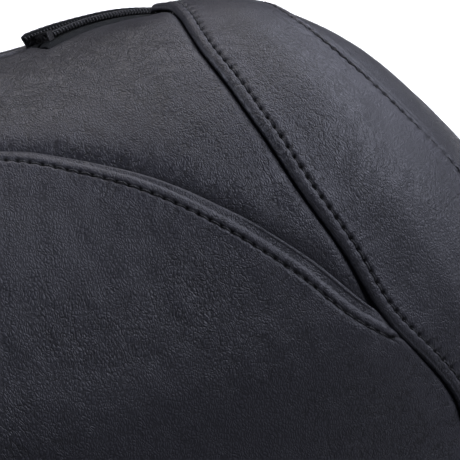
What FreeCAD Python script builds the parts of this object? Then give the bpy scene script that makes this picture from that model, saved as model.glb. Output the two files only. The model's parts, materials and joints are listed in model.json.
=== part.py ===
import FreeCAD, Part
import math
import os

# Touring solo motorcycle seat with a lumbar bolster, in millimetres.
# +X is the rider's left, +Y the rear, +Z up. Z = 0 is the plane that the rubber pads rest on.

os.makedirs("parts", exist_ok=True)
Vector = FreeCAD.Vector

# ---------------------------------------------------------------- driving sizes
# Stations of the seat's upper skin from the nose, over the seat dish and the bolster, to the tail.
# Each is a rib from the midline to the lower rim: midline y and z, rim x and y, how far the rib
# bulges past its rim, how square its shoulder is, and how high the side lobe stands over the midline.
STATIONS = (
    (-280, 30, 80, -272, 0, 2.6, 0),
    (-285, 62, 98, -258, 6, 2.6, 0),
    (-264, 93, 108, -232, 10, 2.8, 0),
    (-190, 100, 120, -170, 12, 3.0, 0),
    (-110, 93, 140, -100, 12, 3.2, 0),
    (-30, 86, 172, -35, 12, 3.2, 3),
    (30, 90, 197, 10, 12, 3.0, 5),
    (66, 120, 208, 50, 12, 2.8, 8),
    (90, 172, 213, 88, 12, 3.2, 13),
    (128, 217, 212, 125, 12, 3.2, 18),
    (185, 235, 205, 160, 12, 3.2, 20),
    (232, 212, 190, 192, 12, 3.2, 15),
    (256, 160, 168, 220, 10, 3.2, 8),
    (262, 95, 140, 240, 6, 2.6, 3),
    (262, 30, 110, 254, 0, 2.6, 0),
)
LAST_STATION = len(STATIONS) - 1
RIM_Z = 30.0
LOBE_SKEW = 1.3

# Seams on the skin. A place on it is (station, share of the rib's length from midline to rim).
BAND_INNER_SEAM = (
    (0.0, 0.50), (1.0, 0.50), (3.0, 0.55), (5.0, 0.575), (6.5, 0.545), (7.54, 0.455), (7.94, 0.362),
    (8.29, 0.317), (8.62, 0.279), (8.96, 0.254), (9.24, 0.241), (9.58, 0.228), (10.12, 0.227), (11.0, 0.23),
)
BAND_OUTER_SEAM = (
    (0.0, 0.62), (1.5, 0.63), (3.0, 0.68), (5.0, 0.70), (6.5, 0.685), (7.8, 0.625), (8.4, 0.548),
    (8.83, 0.465), (9.08, 0.411), (9.25, 0.386), (9.51, 0.357), (9.81, 0.335), (10.4, 0.342),
    (11.2, 0.35), (12.4, 0.39), (14.0, 0.46),
)
# The arch between the main panel and the bolster cap: (share of the way to the band, station).
ARCH_SEAM = (
    (0.0, 9.27), (0.2, 9.24), (0.38, 9.12), (0.58, 8.90), (0.76, 8.59), (0.87, 8.30), (0.95, 8.05), (1.0, 7.94),
)
NOSE_SEAM_STATION = 1.0
STITCH_OFFSET = 3.8
THREAD_RADIUS = 0.4

LEATHER = 1.8
BAND_RISE = 0.8
SEAM_GAP = 0.3
FOAM_CLEARANCE = 1.6

GEL_THICKNESS = 7.0
GEL_FIRST_STATION = 3.2
GEL_LAST_STATION = 5.5
GEL_HALF_SPAN = 0.42

# The pan under the foam
PAN_BOTTOM = 16.0
PAN_PLATE = 4.0
PAN_INSET = 2.4
TACK_STRIP_WIDTH = 30.0
SPACER_RADIUS = 18.0
SPACER_SCREW_DEPTH = 9.0
HEM_BOTTOM = 14.0
HEM_WIDTH = 24.0
STAPLE_PITCH = 34.0

# Rubber rest pads
PAD_PLACES = ((62.0, -178.0), (128.0, 0.0), (66.0, 212.0))
PAD_RADIUS = 15.0
PAD_SCREW_RADIUS = 2.5
PAD_SCREW_HEAD_RADIUS = 5.0
PAD_SCREW_HEAD = 3.0
PAD_COUNTERBORE = 7.0

# Brackets that hold the seat on the frame
TAB_WIDTH = 40.0
TAB_THICKNESS = 3.0
TAB_FRONT_Y = 196.0
TAB_END_Y = 285.67
TAB_HOLE_Y = 273.0
TAB_HOLE_RADIUS = 4.25
TAB_RIVET_Y = (208.0, 240.0)
TONGUE_WIDTH = 46.0
TONGUE_FRONT_Y = -278.0
TONGUE_STEP_Y = -238.0
TONGUE_REAR_Y = -196.0
TONGUE_DROP = 12.0
TONGUE_RIVET_Y = (-224.0, -206.0)
RIVET_RADIUS = 3.0
RIVET_HEAD_RADIUS = 5.5
RIVET_HEAD = 2.0

# The bent steel hoop that stiffens the bolster
HOOP_RADIUS = 7.0
HOOP_WALL = 1.5
HOOP_HALF_SPAN = 105.0
HOOP_Y = 176.0
HOOP_TOP = 172.0
HOOP_BEND = 45.0
FOOT_LENGTH = 50.0
FOOT_WIDTH = 30.0
FOOT_THICKNESS = 4.0
FOOT_BOLT_SPACING = 34.0
FOOT_BOLT_RADIUS = 3.0
FOOT_NUT_RADIUS = 6.0
FOOT_NUT = 3.0

# Zips along the rear of the crest. Each follows one circular arc, so its slider turns about the arc's axis.
ZIP_INNER = (10.1, 46.0)
ZIP_OUTER = (10.7, 116.0)
ZIP_ARCH = 5.5
ZIP_TOP_LIFT = 3.5
TAPE_DEPTH = 3.4
TAPE_THICKNESS = 0.6
TAPE_HALF_WIDTH = 7.0
TAPE_SPLIT = 0.7
TEETH_INNER = 0.6
TEETH_OUTER = 2.9
TEETH_HEIGHT = 2.2
ZIP_CHANNEL = 5.2
ZIP_GROOVE_DEPTH = 2.4
ZIP_STOP_LENGTH = 2.2
SLIDER_LENGTH = 9.0
SLIDER_PLATE = 1.1
SLIDER_FLANGE_INNER = 3.3
SLIDER_HALF_WIDTH = 4.2
SLIDER_TOP = 3.5
CROWN_LENGTH = 7.0
CROWN_WIDTH = 2.4
CROWN_POST = 1.2
CROWN_OPENING = 2.8
CROWN_BAR = 1.0
PULL_PIN_RADIUS = 0.65
PULL_ARM_INNER = 1.9
PULL_ARM_OUTER = 3.1
PULL_ARM_LENGTH = 6.2
PULL_TAB_LENGTH = 17.0
PULL_THICKNESS = 1.5
PULL_DROOP = 6.0

RIB_SAMPLES = 160
TABLE_STEPS_PER_STATION = 20
TABLE_SPAN_STEPS = 100


# ---------------------------------------------------------------- curves and the skin's surface
def station_values(u):
    """Values of the station table at a place between stations, on a smooth curve through them all."""
    first = min(int(u), LAST_STATION - 1)
    part = u - first
    before = STATIONS[first - 1] if first else None
    start = STATIONS[first]
    end = STATIONS[first + 1]
    after = STATIONS[first + 2] if first + 2 <= LAST_STATION else None
    values = []
    for k in range(len(start)):
        b = start[k]
        c = end[k]
        a = before[k] if before else 2 * b - c
        d = after[k] if after else 2 * c - b
        values.append(0.5 * (2 * b + (c - a) * part + (2 * a - 5 * b + 4 * c - d) * part ** 2
                             + (3 * b - a - 3 * c + d) * part ** 3))
    return values


def smooth(points, x):
    """Value at x of a smooth curve through (x, value) points."""
    last = len(points) - 1
    i = 0
    while i < last - 1 and x > points[i + 1][0]:
        i += 1

    def slope(k):
        low = points[max(k - 1, 0)]
        high = points[min(k + 1, last)]
        return (high[1] - low[1]) / (high[0] - low[0])

    x0, y0 = points[i]
    x1, y1 = points[i + 1]
    width = x1 - x0
    f = (x - x0) / width
    return (y0 * (1 + 2 * f) * (1 - f) ** 2 + y1 * f * f * (3 - 2 * f)
            + width * (slope(i) * f * (1 - f) ** 2 - slope(i + 1) * f * f * (1 - f)))


def rib(u):
    """Points along the rib at u, evenly spaced from the midline to the rim on the +X side."""
    mid_y, mid_z, rim_x, rim_y, bulge, shoulder, lobe = station_values(u)
    run = rim_y - mid_y
    fall = RIM_Z - mid_z
    slant = math.hypot(run, fall) + 1e-9
    points = []
    for k in range(RIB_SAMPLES + 1):
        angle = 0.5 * math.pi * k / RIB_SAMPLES
        out = math.sin(angle) ** (2 / shoulder)
        down = 1 - max(math.cos(angle), 0.0) ** (2 / shoulder)
        rise = lobe * math.sin(math.pi * out ** LOBE_SKEW) ** 2
        points.append(Vector(rim_x * out + bulge * math.sin(math.pi * down),
                             mid_y + run * down - rise * run / slant,
                             mid_z + fall * down - rise * fall / slant))
    lengths = [0.0]
    for a, b in zip(points, points[1:]):
        lengths.append(lengths[-1] + (b - a).Length)
    even = []
    k = 0
    for j in range(TABLE_SPAN_STEPS + 1):
        target = lengths[-1] * j / TABLE_SPAN_STEPS
        while k < RIB_SAMPLES - 1 and lengths[k + 1] < target:
            k += 1
        f = (target - lengths[k]) / (lengths[k + 1] - lengths[k])
        even.append(points[k] + (points[k + 1] - points[k]) * f)
    return even


TABLE = [rib(i / TABLE_STEPS_PER_STATION) for i in range(LAST_STATION * TABLE_STEPS_PER_STATION + 1)]


def table_normal(i, j):
    """Outward normal of the skin at a table entry."""
    low_i = max(i - 1, 0)
    high_i = min(i + 1, len(TABLE) - 1)
    along = TABLE[high_i][j] - TABLE[low_i][j]
    if j == 0:
        across = Vector(1, 0, 0)
    else:
        high_j = min(j + 1, TABLE_SPAN_STEPS)
        across = TABLE[i][high_j] - TABLE[i][j - 1]
    normal = across.cross(along)
    normal.normalize()
    return normal


NORMALS = [[table_normal(i, j) for j in range(TABLE_SPAN_STEPS + 1)] for i in range(len(TABLE))]


def between(table, u, t):
    """Bilinear value of a table at station u and span share t, both in range."""
    a = min(max(u, 0.0), LAST_STATION) * TABLE_STEPS_PER_STATION
    b = min(t, 1.0) * TABLE_SPAN_STEPS
    i = min(int(a), len(table) - 2)
    j = min(int(b), TABLE_SPAN_STEPS - 1)
    f = a - i
    g = b - j
    near = table[i][j] * (1 - g) + table[i][j + 1] * g
    far = table[i + 1][j] * (1 - g) + table[i + 1][j + 1] * g
    return near * (1 - f) + far * f


def skin_normal(u, t):
    normal = between(NORMALS, u, abs(t))
    normal.normalize()
    return Vector(math.copysign(1, t) * normal.x if t else 0.0, normal.y, normal.z)


def skin(u, t, lift=0.0):
    """Point over the skin at station u and signed span share t, lifted along the normal."""
    place = between(TABLE, u, abs(t))
    if t < 0:
        place = Vector(-place.x, place.y, place.z)
    return place + skin_normal(u, t) * lift


def span_at_x(u, x):
    """Span share at which the rib at u first reaches x."""
    low = 0.0
    high = 0.5
    for _ in range(40):
        middle = 0.5 * (low + high)
        if skin(u, middle).x < x:
            low = middle
        else:
            high = middle
    return low


# ---------------------------------------------------------------- solids from curves and surfaces
def grid_surface(place, rows, columns):
    """B-spline surface through place(row share, column share)."""
    surface = Part.BSplineSurface()
    surface.interpolate([[place(i / rows, j / columns) for j in range(columns + 1)] for i in range(rows + 1)])
    return surface


def closed_solid(faces, name):
    shell = Part.makeShell(faces)
    shell.sewShape()
    solid = Part.makeSolid(shell)
    if solid.Volume < 0:
        solid.reverse()
    if not solid.isValid():
        print("not valid:", name)
    return solid


def boundary_edges(surface):
    """The surface's four boundary curves as edges."""
    u0, u1, v0, v1 = surface.bounds()
    return [surface.uIso(u0).toShape(), surface.uIso(u1).toShape(),
            surface.vIso(v0).toShape(), surface.vIso(v1).toShape()]


def panel(seam_place, top, bottom, rows=24, columns=20, name="panel"):
    """Closed sheet between two lifts over the skin; seam_place(row, column) gives (station, span share)."""
    outer = grid_surface(lambda r, s: skin(*seam_place(r, s), top), rows, columns)
    inner = grid_surface(lambda r, s: skin(*seam_place(r, s), bottom), rows, columns)
    faces = [outer.toShape(), inner.toShape()]
    for upper, lower in zip(boundary_edges(outer), boundary_edges(inner)):
        faces.append(Part.makeRuledSurface(upper, lower))
    return closed_solid(faces, name)


def mirrored(shape):
    return shape.mirror(Vector(0, 0, 0), Vector(1, 0, 0))


def box(x0, x1, y0, y1, z0, z1):
    return Part.makeBox(x1 - x0, y1 - y0, z1 - z0, Vector(x0, y0, z0))


def upright(x, y, z0, z1, radius):
    return Part.makeCylinder(radius, z1 - z0, Vector(x, y, z0))


def union(shapes):
    result = shapes[0]
    for shape in shapes[1:]:
        result = result.fuse(shape)
    return result.removeSplitter()


def tube_along(points, radius):
    """Six-sided thread along a smooth curve through the points."""
    curve = Part.BSplineCurve()
    curve.interpolate(points)
    start = points[0]
    direction = curve.tangent(curve.FirstParameter)[0]
    across = direction.cross(Vector(0, 0, 1))
    across.normalize()
    other = direction.cross(across)
    corners = [start + across * radius * math.cos(math.radians(60 * k)) + other * radius * math.sin(math.radians(60 * k))
               for k in range(6)]
    ring = Part.makePolygon(corners + corners[:1])
    return Part.Wire(curve.toShape()).makePipeShell([ring], True, True)


# ---------------------------------------------------------------- the zip's arc
class ZipArc:
    """The planar circle that one zip follows, and shapes turned about its axis."""

    def __init__(self):
        inner_u, inner_x = ZIP_INNER
        outer_u, outer_x = ZIP_OUTER
        inner_t = span_at_x(inner_u, inner_x)
        outer_t = span_at_x(outer_u, outer_x)
        start = skin(inner_u, inner_t)
        end = skin(outer_u, outer_t)
        chord = end - start
        half = 0.5 * chord.Length
        along = Vector(chord)
        along.normalize()
        up = skin_normal(inner_u, inner_t) + skin_normal(outer_u, outer_t)
        up = up - along * up.dot(along)
        up.normalize()
        self.middle_up = up
        self.middle_along = along
        skin_radius = (half ** 2 + ZIP_ARCH ** 2) / (2 * ZIP_ARCH)
        self.centre = start + along * half - up * (skin_radius - ZIP_ARCH)
        self.axis = along.cross(up) * -1
        self.tape_radius = skin_radius + ZIP_TOP_LIFT - TAPE_DEPTH
        self.half_angle = math.asin(half / skin_radius)
        self.inner_t = inner_t
        self.outer_t = outer_t

    def direction(self, angle):
        """Radial direction at an angle from the arc's middle, positive towards the rim."""
        return self.middle_up * math.cos(angle) + self.middle_along * math.sin(angle)

    def tangent(self, angle):
        return self.middle_along * math.cos(angle) - self.middle_up * math.sin(angle)

    def point(self, angle, radius, side=0.0):
        return self.centre + self.direction(angle) * radius + self.axis * side

    def sector(self, from_angle, to_angle, low, high, side_low, side_high):
        """Ring sector between two radii, two sides and two angles."""
        corners = [self.point(from_angle, low, side_low), self.point(from_angle, high, side_low),
                   self.point(from_angle, high, side_high), self.point(from_angle, low, side_high)]
        face = Part.Face(Part.makePolygon(corners + corners[:1]))
        turn_axis = self.middle_up.cross(self.middle_along)
        return face.revolve(self.centre, turn_axis, math.degrees(to_angle - from_angle))

    def side_of(self, place):
        return (place - self.centre).dot(self.axis)


ZIP = ZipArc()


def station_on_zip_plane(t):
    """Station at which the skin at span share t crosses the zip's plane."""
    low, high = 9.6, 11.6
    rising = ZIP.side_of(skin(high, t)) > ZIP.side_of(skin(low, t))
    for _ in range(40):
        middle = 0.5 * (low + high)
        if (ZIP.side_of(skin(middle, t)) < 0) == rising:
            low = middle
        else:
            high = middle
    return low


def crest_seam(t):
    """Station of the seam along the rear of the crest: the zips' planes, joined smoothly over the midline."""
    t = abs(t)
    if t >= ZIP.inner_t:
        return station_on_zip_plane(t)
    step = 0.005
    edge = station_on_zip_plane(ZIP.inner_t)
    slope = (station_on_zip_plane(ZIP.inner_t + step) - edge) / step
    return edge - slope * (ZIP.inner_t ** 2 - t ** 2) / (2 * ZIP.inner_t)


def station_step(u, t, distance):
    """Change of station that moves a place on the skin by a distance."""
    return distance / (2 * (skin(u + 0.25, t) - skin(u - 0.25, t)).Length)


def crest_edge(t, side):
    """Station of a panel's edge beside the crest seam, in front of it (-1) or behind it (+1)."""
    middle = crest_seam(t)
    return middle + side * station_step(middle, t, ZIP_CHANNEL)


def inner_seam(u):
    return smooth(BAND_INNER_SEAM, u)


def outer_seam(u):
    return smooth(BAND_OUTER_SEAM, u)


def arch_station(share):
    return smooth(ARCH_SEAM, abs(share))


SPAN_GAP = 0.0014
STATION_GAP = 0.009


# ---------------------------------------------------------------- foam, gel and cover panels
def foam_block():
    """The whole foam body under the skin, with a flat underside on the pan."""
    lift = -(LEATHER + FOAM_CLEARANCE)
    floor = RIM_Z + SEAM_GAP

    def place(r, s):
        spot = skin(r * LAST_STATION, 2 * s - 1, lift)
        on_rim = r in (0.0, 1.0) or s in (0.0, 1.0)
        spot.z = floor if on_rim else max(spot.z, floor + 0.5)
        return spot

    surface = grid_surface(place, 3 * LAST_STATION, 44)
    base = Part.Face(Part.Wire(Part.__sortEdges__(boundary_edges(surface))))
    return closed_solid([surface.toShape(), base], "foam")


def bolster_cutter():
    """Half space behind the slanted joint between the seat foam and the bolster block."""
    slant = Part.makePolygon([Vector(-300, 20, 0), Vector(-300, 80, 400), Vector(-300, 500, 400),
                              Vector(-300, 500, 0), Vector(-300, 20, 0)])
    return Part.Face(slant).extrude(Vector(600, 0, 0))


def gel_place(grow):
    def place(r, s):
        u = GEL_FIRST_STATION - grow + (GEL_LAST_STATION - GEL_FIRST_STATION + 2 * grow) * r
        return u, (2 * s - 1) * (GEL_HALF_SPAN + 0.2 * grow)
    return place


def main_panel_place(r, s):
    share = 2 * s - 1
    last = arch_station(share) - STATION_GAP
    u = NOSE_SEAM_STATION + STATION_GAP + (last - NOSE_SEAM_STATION - STATION_GAP) * r
    return u, share * (inner_seam(u) - SPAN_GAP)


def bolster_cap_place(r, s):
    share = 2 * s - 1
    first = arch_station(share) + STATION_GAP
    rough = share * inner_seam(10.2)
    last = crest_edge(rough, -1)
    u = first + (last - first) * r
    return u, share * (inner_seam(u) - SPAN_GAP)


def band_place(r, s):
    def at(u):
        low = inner_seam(u) + SPAN_GAP
        high = outer_seam(u) - SPAN_GAP
        return low + (high - low) * s

    last = crest_edge(at(10.3), -1)
    u = NOSE_SEAM_STATION + STATION_GAP + (last - NOSE_SEAM_STATION - STATION_GAP) * r
    return u, at(u)


def rear_panel_place(r, s):
    share = 2 * s - 1
    first = crest_edge(share * outer_seam(10.6), 1)
    u = first + (LAST_STATION - first) * r
    return u, share * (outer_seam(u) - SPAN_GAP)


def crest_bridge_place(r, s):
    t = (2 * r - 1) * (ZIP.inner_t - 0.004)
    middle = crest_seam(t)
    width = station_step(middle, t, ZIP_CHANNEL - SEAM_GAP)
    return middle + (2 * s - 1) * width, t


def skirt_place(r, s):
    u = LAST_STATION * r
    low = outer_seam(u) + SPAN_GAP
    return u, low + (1 - low) * s


def nose_place(r, s):
    u = (NOSE_SEAM_STATION - STATION_GAP) * r
    return u, (2 * s - 1) * (outer_seam(u) - SPAN_GAP)


def zip_groove():
    """Channel that keeps the foam clear of both zips' sliders."""
    spread = 0.5 * ZIP_CHANNEL / ZIP.tape_radius
    left = ZIP.sector(-ZIP.half_angle - spread, ZIP.half_angle + 2 * spread, ZIP.tape_radius - ZIP_GROOVE_DEPTH,
                      ZIP.tape_radius + 12, -ZIP_CHANNEL, ZIP_CHANNEL)
    return left.fuse(mirrored(left))


# ---------------------------------------------------------------- seams' threads
def thread(seam, count, side):
    """Thread line beside a seam; seam(share) gives (station, span share), side +1 is its left over the skin."""
    places = [seam(k / count) for k in range(count + 1)]
    points = []
    for k, (u, t) in enumerate(places):
        before = skin(*places[max(k - 1, 0)])
        after = skin(*places[min(k + 1, count)])
        tangent = after - before
        normal = skin_normal(u, t)
        sideways = normal.cross(tangent)
        sideways.normalize()
        points.append(skin(u, t, THREAD_RADIUS) + sideways * side * STITCH_OFFSET)
    return tube_along(points, THREAD_RADIUS)


def arch_line(share):
    signed = 0.97 * (2 * share - 1)
    u = arch_station(signed)
    return u, signed * inner_seam(u)


def inner_line(share):
    u = 1.2 + (10.0 - 1.2) * share
    return u, inner_seam(u)


def outer_line(share):
    u = 1.2 + (10.2 - 1.2) * share
    return u, outer_seam(u)


# ---------------------------------------------------------------- pan, hem and underside
def rim_wire(inset, z):
    """Closed outline of the skin's rim in plan, moved inwards, at a height."""
    nose = [TABLE[0][j] for j in range(0, TABLE_SPAN_STEPS, 20)]
    side = [row[TABLE_SPAN_STEPS] for row in TABLE[::TABLE_STEPS_PER_STATION]]
    tail = [TABLE[-1][j] for j in range(TABLE_SPAN_STEPS - 20, -1, -20)]
    right = nose + side + tail
    left = [Vector(-p.x, p.y, p.z) for p in reversed(right[1:-1])]
    loop = [Vector(p.x, p.y, 0) for p in right + left]
    moved = []
    for k, here in enumerate(loop):
        ahead = loop[(k + 1) % len(loop)] - loop[k - 1]
        ahead.normalize()
        moved.append(here + Vector(-ahead.y, ahead.x, 0) * inset + Vector(0, 0, z))
    curve = Part.BSplineCurve()
    curve.interpolate(moved, True)
    return Part.Wire(curve.toShape())


def plan_slab(inset, z0, z1):
    return Part.Face(rim_wire(inset, z0)).extrude(Vector(0, 0, z1 - z0))


def both_sides(places):
    return [(side * x, y) for x, y in places for side in (1, -1)]


def foot_bolt_places():
    return [(side * HOOP_HALF_SPAN, HOOP_Y + step * 0.5 * FOOT_BOLT_SPACING) for side in (1, -1) for step in (1, -1)]


def base_pan():
    """Flat laminate plate under the foam."""
    pan = plan_slab(PAN_INSET, RIM_Z - PAN_PLATE, RIM_Z)
    for x, y in foot_bolt_places():
        pan = pan.cut(upright(x, y, 10, RIM_Z + 1, FOOT_BOLT_RADIUS + 0.3))
    for y in TAB_RIVET_Y + TONGUE_RIVET_Y:
        pan = pan.cut(upright(0, y, PAN_BOTTOM - 1, RIM_Z + 1, RIVET_RADIUS))
        pan = pan.cut(upright(0, y, RIM_Z - RIVET_HEAD - 0.5, RIM_Z + 1, RIVET_HEAD_RADIUS + 0.5))
    return pan


def tack_strip():
    """Thick strip bonded round the plate's edge, which the staples go into."""
    strip = plan_slab(PAN_INSET, PAN_BOTTOM, RIM_Z - PAN_PLATE)
    strip = strip.cut(plan_slab(TACK_STRIP_WIDTH, PAN_BOTTOM - 1, RIM_Z - PAN_PLATE + 1))
    for y in TAB_RIVET_Y + TONGUE_RIVET_Y:
        strip = strip.cut(upright(0, y, PAN_BOTTOM - 1, RIM_Z, RIVET_RADIUS))
    return strip


def mount_spacers():
    """Spacers under the plate: round ones for the rest pads, square ones for the two brackets."""
    top = RIM_Z - PAN_PLATE
    spacers = []
    for x, y in both_sides(PAD_PLACES):
        disc = upright(x, y, PAN_BOTTOM, top, SPACER_RADIUS)
        spacers.append(disc.cut(upright(x, y, PAN_BOTTOM - 1, PAN_BOTTOM + SPACER_SCREW_DEPTH, PAD_SCREW_RADIUS)))
    tab_half = 0.5 * TAB_WIDTH + 4
    tongue_half = 0.5 * TONGUE_WIDTH + 4
    spacers.append(box(-tab_half, tab_half, TAB_FRONT_Y, 228, PAN_BOTTOM, top))
    spacers.append(box(-tongue_half, tongue_half, -246, TONGUE_REAR_Y, PAN_BOTTOM, top))
    for y in TAB_RIVET_Y + TONGUE_RIVET_Y:
        spacers = [spacer.cut(upright(0, y, PAN_BOTTOM - 1, RIM_Z, RIVET_RADIUS)) for spacer in spacers]
    return Part.makeCompound(spacers)


def cover_hem():
    """Edge of the cover, drawn down round the pan and stapled flat under it."""
    around = plan_slab(0.2, HEM_BOTTOM, RIM_Z - SEAM_GAP).cut(plan_slab(PAN_INSET - 0.1, PAN_BOTTOM - 0.1, RIM_Z + 1))
    hem = around.cut(plan_slab(HEM_WIDTH, HEM_BOTTOM - 1, RIM_Z))
    notch = 3
    hem = hem.cut(box(-TAB_WIDTH / 2 - notch, TAB_WIDTH / 2 + notch, TAB_FRONT_Y, 300, HEM_BOTTOM - 1, PAN_BOTTOM))
    return hem.cut(box(-TONGUE_WIDTH / 2 - notch, TONGUE_WIDTH / 2 + notch, -250, -200, HEM_BOTTOM - 1, PAN_BOTTOM))


def hem_staples():
    """Wire staples along the hem, as crowns lying on it."""
    line = rim_wire(14.0, HEM_BOTTOM)
    edge = line.Edges[0]
    count = int(edge.Length / STAPLE_PITCH)
    staples = []
    for k in range(count):
        parameter = edge.getParameterByLength((k + 0.5) * edge.Length / count)
        place = edge.valueAt(parameter)
        ahead = edge.tangentAt(parameter)
        if abs(place.x) < 40:
            continue
        staple = box(-5, 5, -0.5, 0.5, -0.6, 0.0)
        staple.rotate(Vector(0, 0, 0), Vector(0, 0, 1), math.degrees(math.atan2(ahead.y, ahead.x)))
        staple.translate(place)
        staples.append(staple)
    return Part.makeCompound(staples)


def rubber_pads():
    pads = []
    for x, y in both_sides(PAD_PLACES):
        foot = Part.makeCone(PAD_RADIUS - 2, PAD_RADIUS, PAN_BOTTOM, Vector(x, y, 0))
        bore = upright(x, y, -1, PAN_BOTTOM + 1, PAD_SCREW_RADIUS + 0.1)
        pads.append(foot.cut(bore).cut(upright(x, y, -1, PAD_COUNTERBORE, PAD_SCREW_HEAD_RADIUS + 0.6)))
    return Part.makeCompound(pads)


def pad_screws():
    screws = []
    for x, y in both_sides(PAD_PLACES):
        head = upright(x, y, PAD_COUNTERBORE - PAD_SCREW_HEAD, PAD_COUNTERBORE, PAD_SCREW_HEAD_RADIUS)
        slot = box(x - 3.5, x + 3.5, y - 0.6, y + 0.6, 0, PAD_COUNTERBORE - PAD_SCREW_HEAD + 1)
        shank = upright(x, y, PAD_COUNTERBORE - 0.5, PAN_BOTTOM + SPACER_SCREW_DEPTH, PAD_SCREW_RADIUS)
        screws.append(head.cut(slot).fuse(shank))
    return Part.makeCompound(screws)


def rear_bracket():
    top = PAN_BOTTOM
    low = top - TAB_THICKNESS
    tab = box(-TAB_WIDTH / 2, TAB_WIDTH / 2, TAB_FRONT_Y, TAB_END_Y, low, top)
    tips = [e for e in tab.Edges if e.BoundBox.ZLength > 2 and e.BoundBox.YMin > TAB_END_Y - 1]
    tab = tab.makeFillet(12.0, tips)
    tab = tab.cut(upright(0, TAB_HOLE_Y, low - 1, top + 1, TAB_HOLE_RADIUS))
    for y in TAB_RIVET_Y:
        tab = tab.cut(upright(0, y, low - 1, top + 1, RIVET_RADIUS))
    return tab


def front_tongue():
    """Stepped steel tongue whose lower end slides under a cross bar of the frame."""
    top = PAN_BOTTOM
    t = TAB_THICKNESS
    y0, y1, y2, y3 = TONGUE_FRONT_Y, TONGUE_STEP_Y - t, TONGUE_STEP_Y, TONGUE_REAR_Y
    low = top - TONGUE_DROP
    outline = [(y0, low), (y1 + t, low), (y2 + t, top - t), (y3, top - t), (y3, top), (y2, top),
               (y1, low + t), (y0, low + t)]
    half = TONGUE_WIDTH / 2
    wire = Part.makePolygon([Vector(-half, y, z) for y, z in outline + outline[:1]])
    tongue = Part.Face(wire).extrude(Vector(TONGUE_WIDTH, 0, 0))
    tips = [e for e in tongue.Edges if e.BoundBox.ZLength > 2 and e.BoundBox.YMax < y0 + 1 and e.BoundBox.XLength < 1]
    tongue = tongue.makeFillet(8.0, tips)
    for y in TONGUE_RIVET_Y:
        tongue = tongue.cut(upright(0, y, top - t - 1, top + 1, RIVET_RADIUS))
    return tongue


def rivets(y_places):
    """Rivets that clench a bracket to the pan."""
    made = []
    low = PAN_BOTTOM - TAB_THICKNESS
    for y in y_places:
        shank = upright(0, y, low, RIM_Z - RIVET_HEAD, RIVET_RADIUS)
        dome = Part.makeSphere(RIVET_HEAD_RADIUS + 0.6, Vector(0, y, low + RIVET_HEAD_RADIUS - RIVET_HEAD + 0.6))
        dome = dome.common(upright(0, y, low - RIVET_HEAD - 1, low, RIVET_HEAD_RADIUS))
        clench = upright(0, y, RIM_Z - RIVET_HEAD - 0.5, RIM_Z - 0.5, RIVET_HEAD_RADIUS)
        made.append(shank.fuse(dome).fuse(clench))
    return Part.makeCompound(made)


# ---------------------------------------------------------------- bolster's hoop
def hoop_tube(radius):
    foot = RIM_Z + SEAM_GAP + FOOT_THICKNESS
    x = HOOP_HALF_SPAN
    inner = x - HOOP_BEND
    knee = HOOP_TOP - HOOP_BEND
    diagonal = HOOP_BEND * math.sqrt(0.5)
    path = Part.Wire([
        Part.makeLine(Vector(-x, HOOP_Y, foot), Vector(-x, HOOP_Y, knee)),
        Part.Arc(Vector(-x, HOOP_Y, knee), Vector(-inner - diagonal, HOOP_Y, knee + diagonal),
                 Vector(-inner, HOOP_Y, HOOP_TOP)).toShape(),
        Part.makeLine(Vector(-inner, HOOP_Y, HOOP_TOP), Vector(inner, HOOP_Y, HOOP_TOP)),
        Part.Arc(Vector(inner, HOOP_Y, HOOP_TOP), Vector(inner + diagonal, HOOP_Y, knee + diagonal),
                 Vector(x, HOOP_Y, knee)).toShape(),
        Part.makeLine(Vector(x, HOOP_Y, knee), Vector(x, HOOP_Y, foot)),
    ])
    ring = Part.Wire(Part.makeCircle(radius, Vector(-x, HOOP_Y, foot), Vector(0, 0, 1)))
    return path.makePipeShell([ring], True, False)


def hoop_feet(grow=0.0):
    low = RIM_Z + SEAM_GAP - grow
    high = RIM_Z + SEAM_GAP + FOOT_THICKNESS + grow
    return [box(side * HOOP_HALF_SPAN - FOOT_WIDTH / 2 - grow, side * HOOP_HALF_SPAN + FOOT_WIDTH / 2 + grow,
                HOOP_Y - FOOT_LENGTH / 2 - grow, HOOP_Y + FOOT_LENGTH / 2 + grow, low, high) for side in (1, -1)]


def lumbar_hoop():
    hoop = union([hoop_tube(HOOP_RADIUS).cut(hoop_tube(HOOP_RADIUS - HOOP_WALL))] + hoop_feet())
    for x, y in foot_bolt_places():
        hoop = hoop.cut(upright(x, y, 20, 50, FOOT_BOLT_RADIUS + 0.3))
    return hoop


def hoop_bolts():
    """Bolts with low round heads above the hoop's feet."""
    bolts = []
    seat = RIM_Z + SEAM_GAP + FOOT_THICKNESS
    for x, y in foot_bolt_places():
        head = upright(x, y, seat, seat + 3, 5.5)
        bolts.append(head.fuse(upright(x, y, RIM_Z - PAN_PLATE - FOOT_NUT - 1, seat + 1, FOOT_BOLT_RADIUS)))
    return Part.makeCompound(bolts)


def hoop_nuts():
    """Flange nuts under the pan's plate."""
    nuts = []
    top = RIM_Z - PAN_PLATE
    for x, y in foot_bolt_places():
        corners = [Vector(x + FOOT_NUT_RADIUS * math.cos(math.radians(60 * k)),
                          y + FOOT_NUT_RADIUS * math.sin(math.radians(60 * k)), top - FOOT_NUT) for k in range(7)]
        body = Part.Face(Part.makePolygon(corners)).extrude(Vector(0, 0, FOOT_NUT))
        nuts.append(body.cut(upright(x, y, top - FOOT_NUT - 1, top + 1, FOOT_BOLT_RADIUS)))
    return Part.makeCompound(nuts)


# ---------------------------------------------------------------- zips
def zip_tapes():
    r = ZIP.tape_radius
    a = ZIP.half_angle
    return [ZIP.sector(-a, a, r, r + TAPE_THICKNESS, *sorted((side * TAPE_SPLIT, side * TAPE_HALF_WIDTH)))
            for side in (1, -1)]


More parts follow.
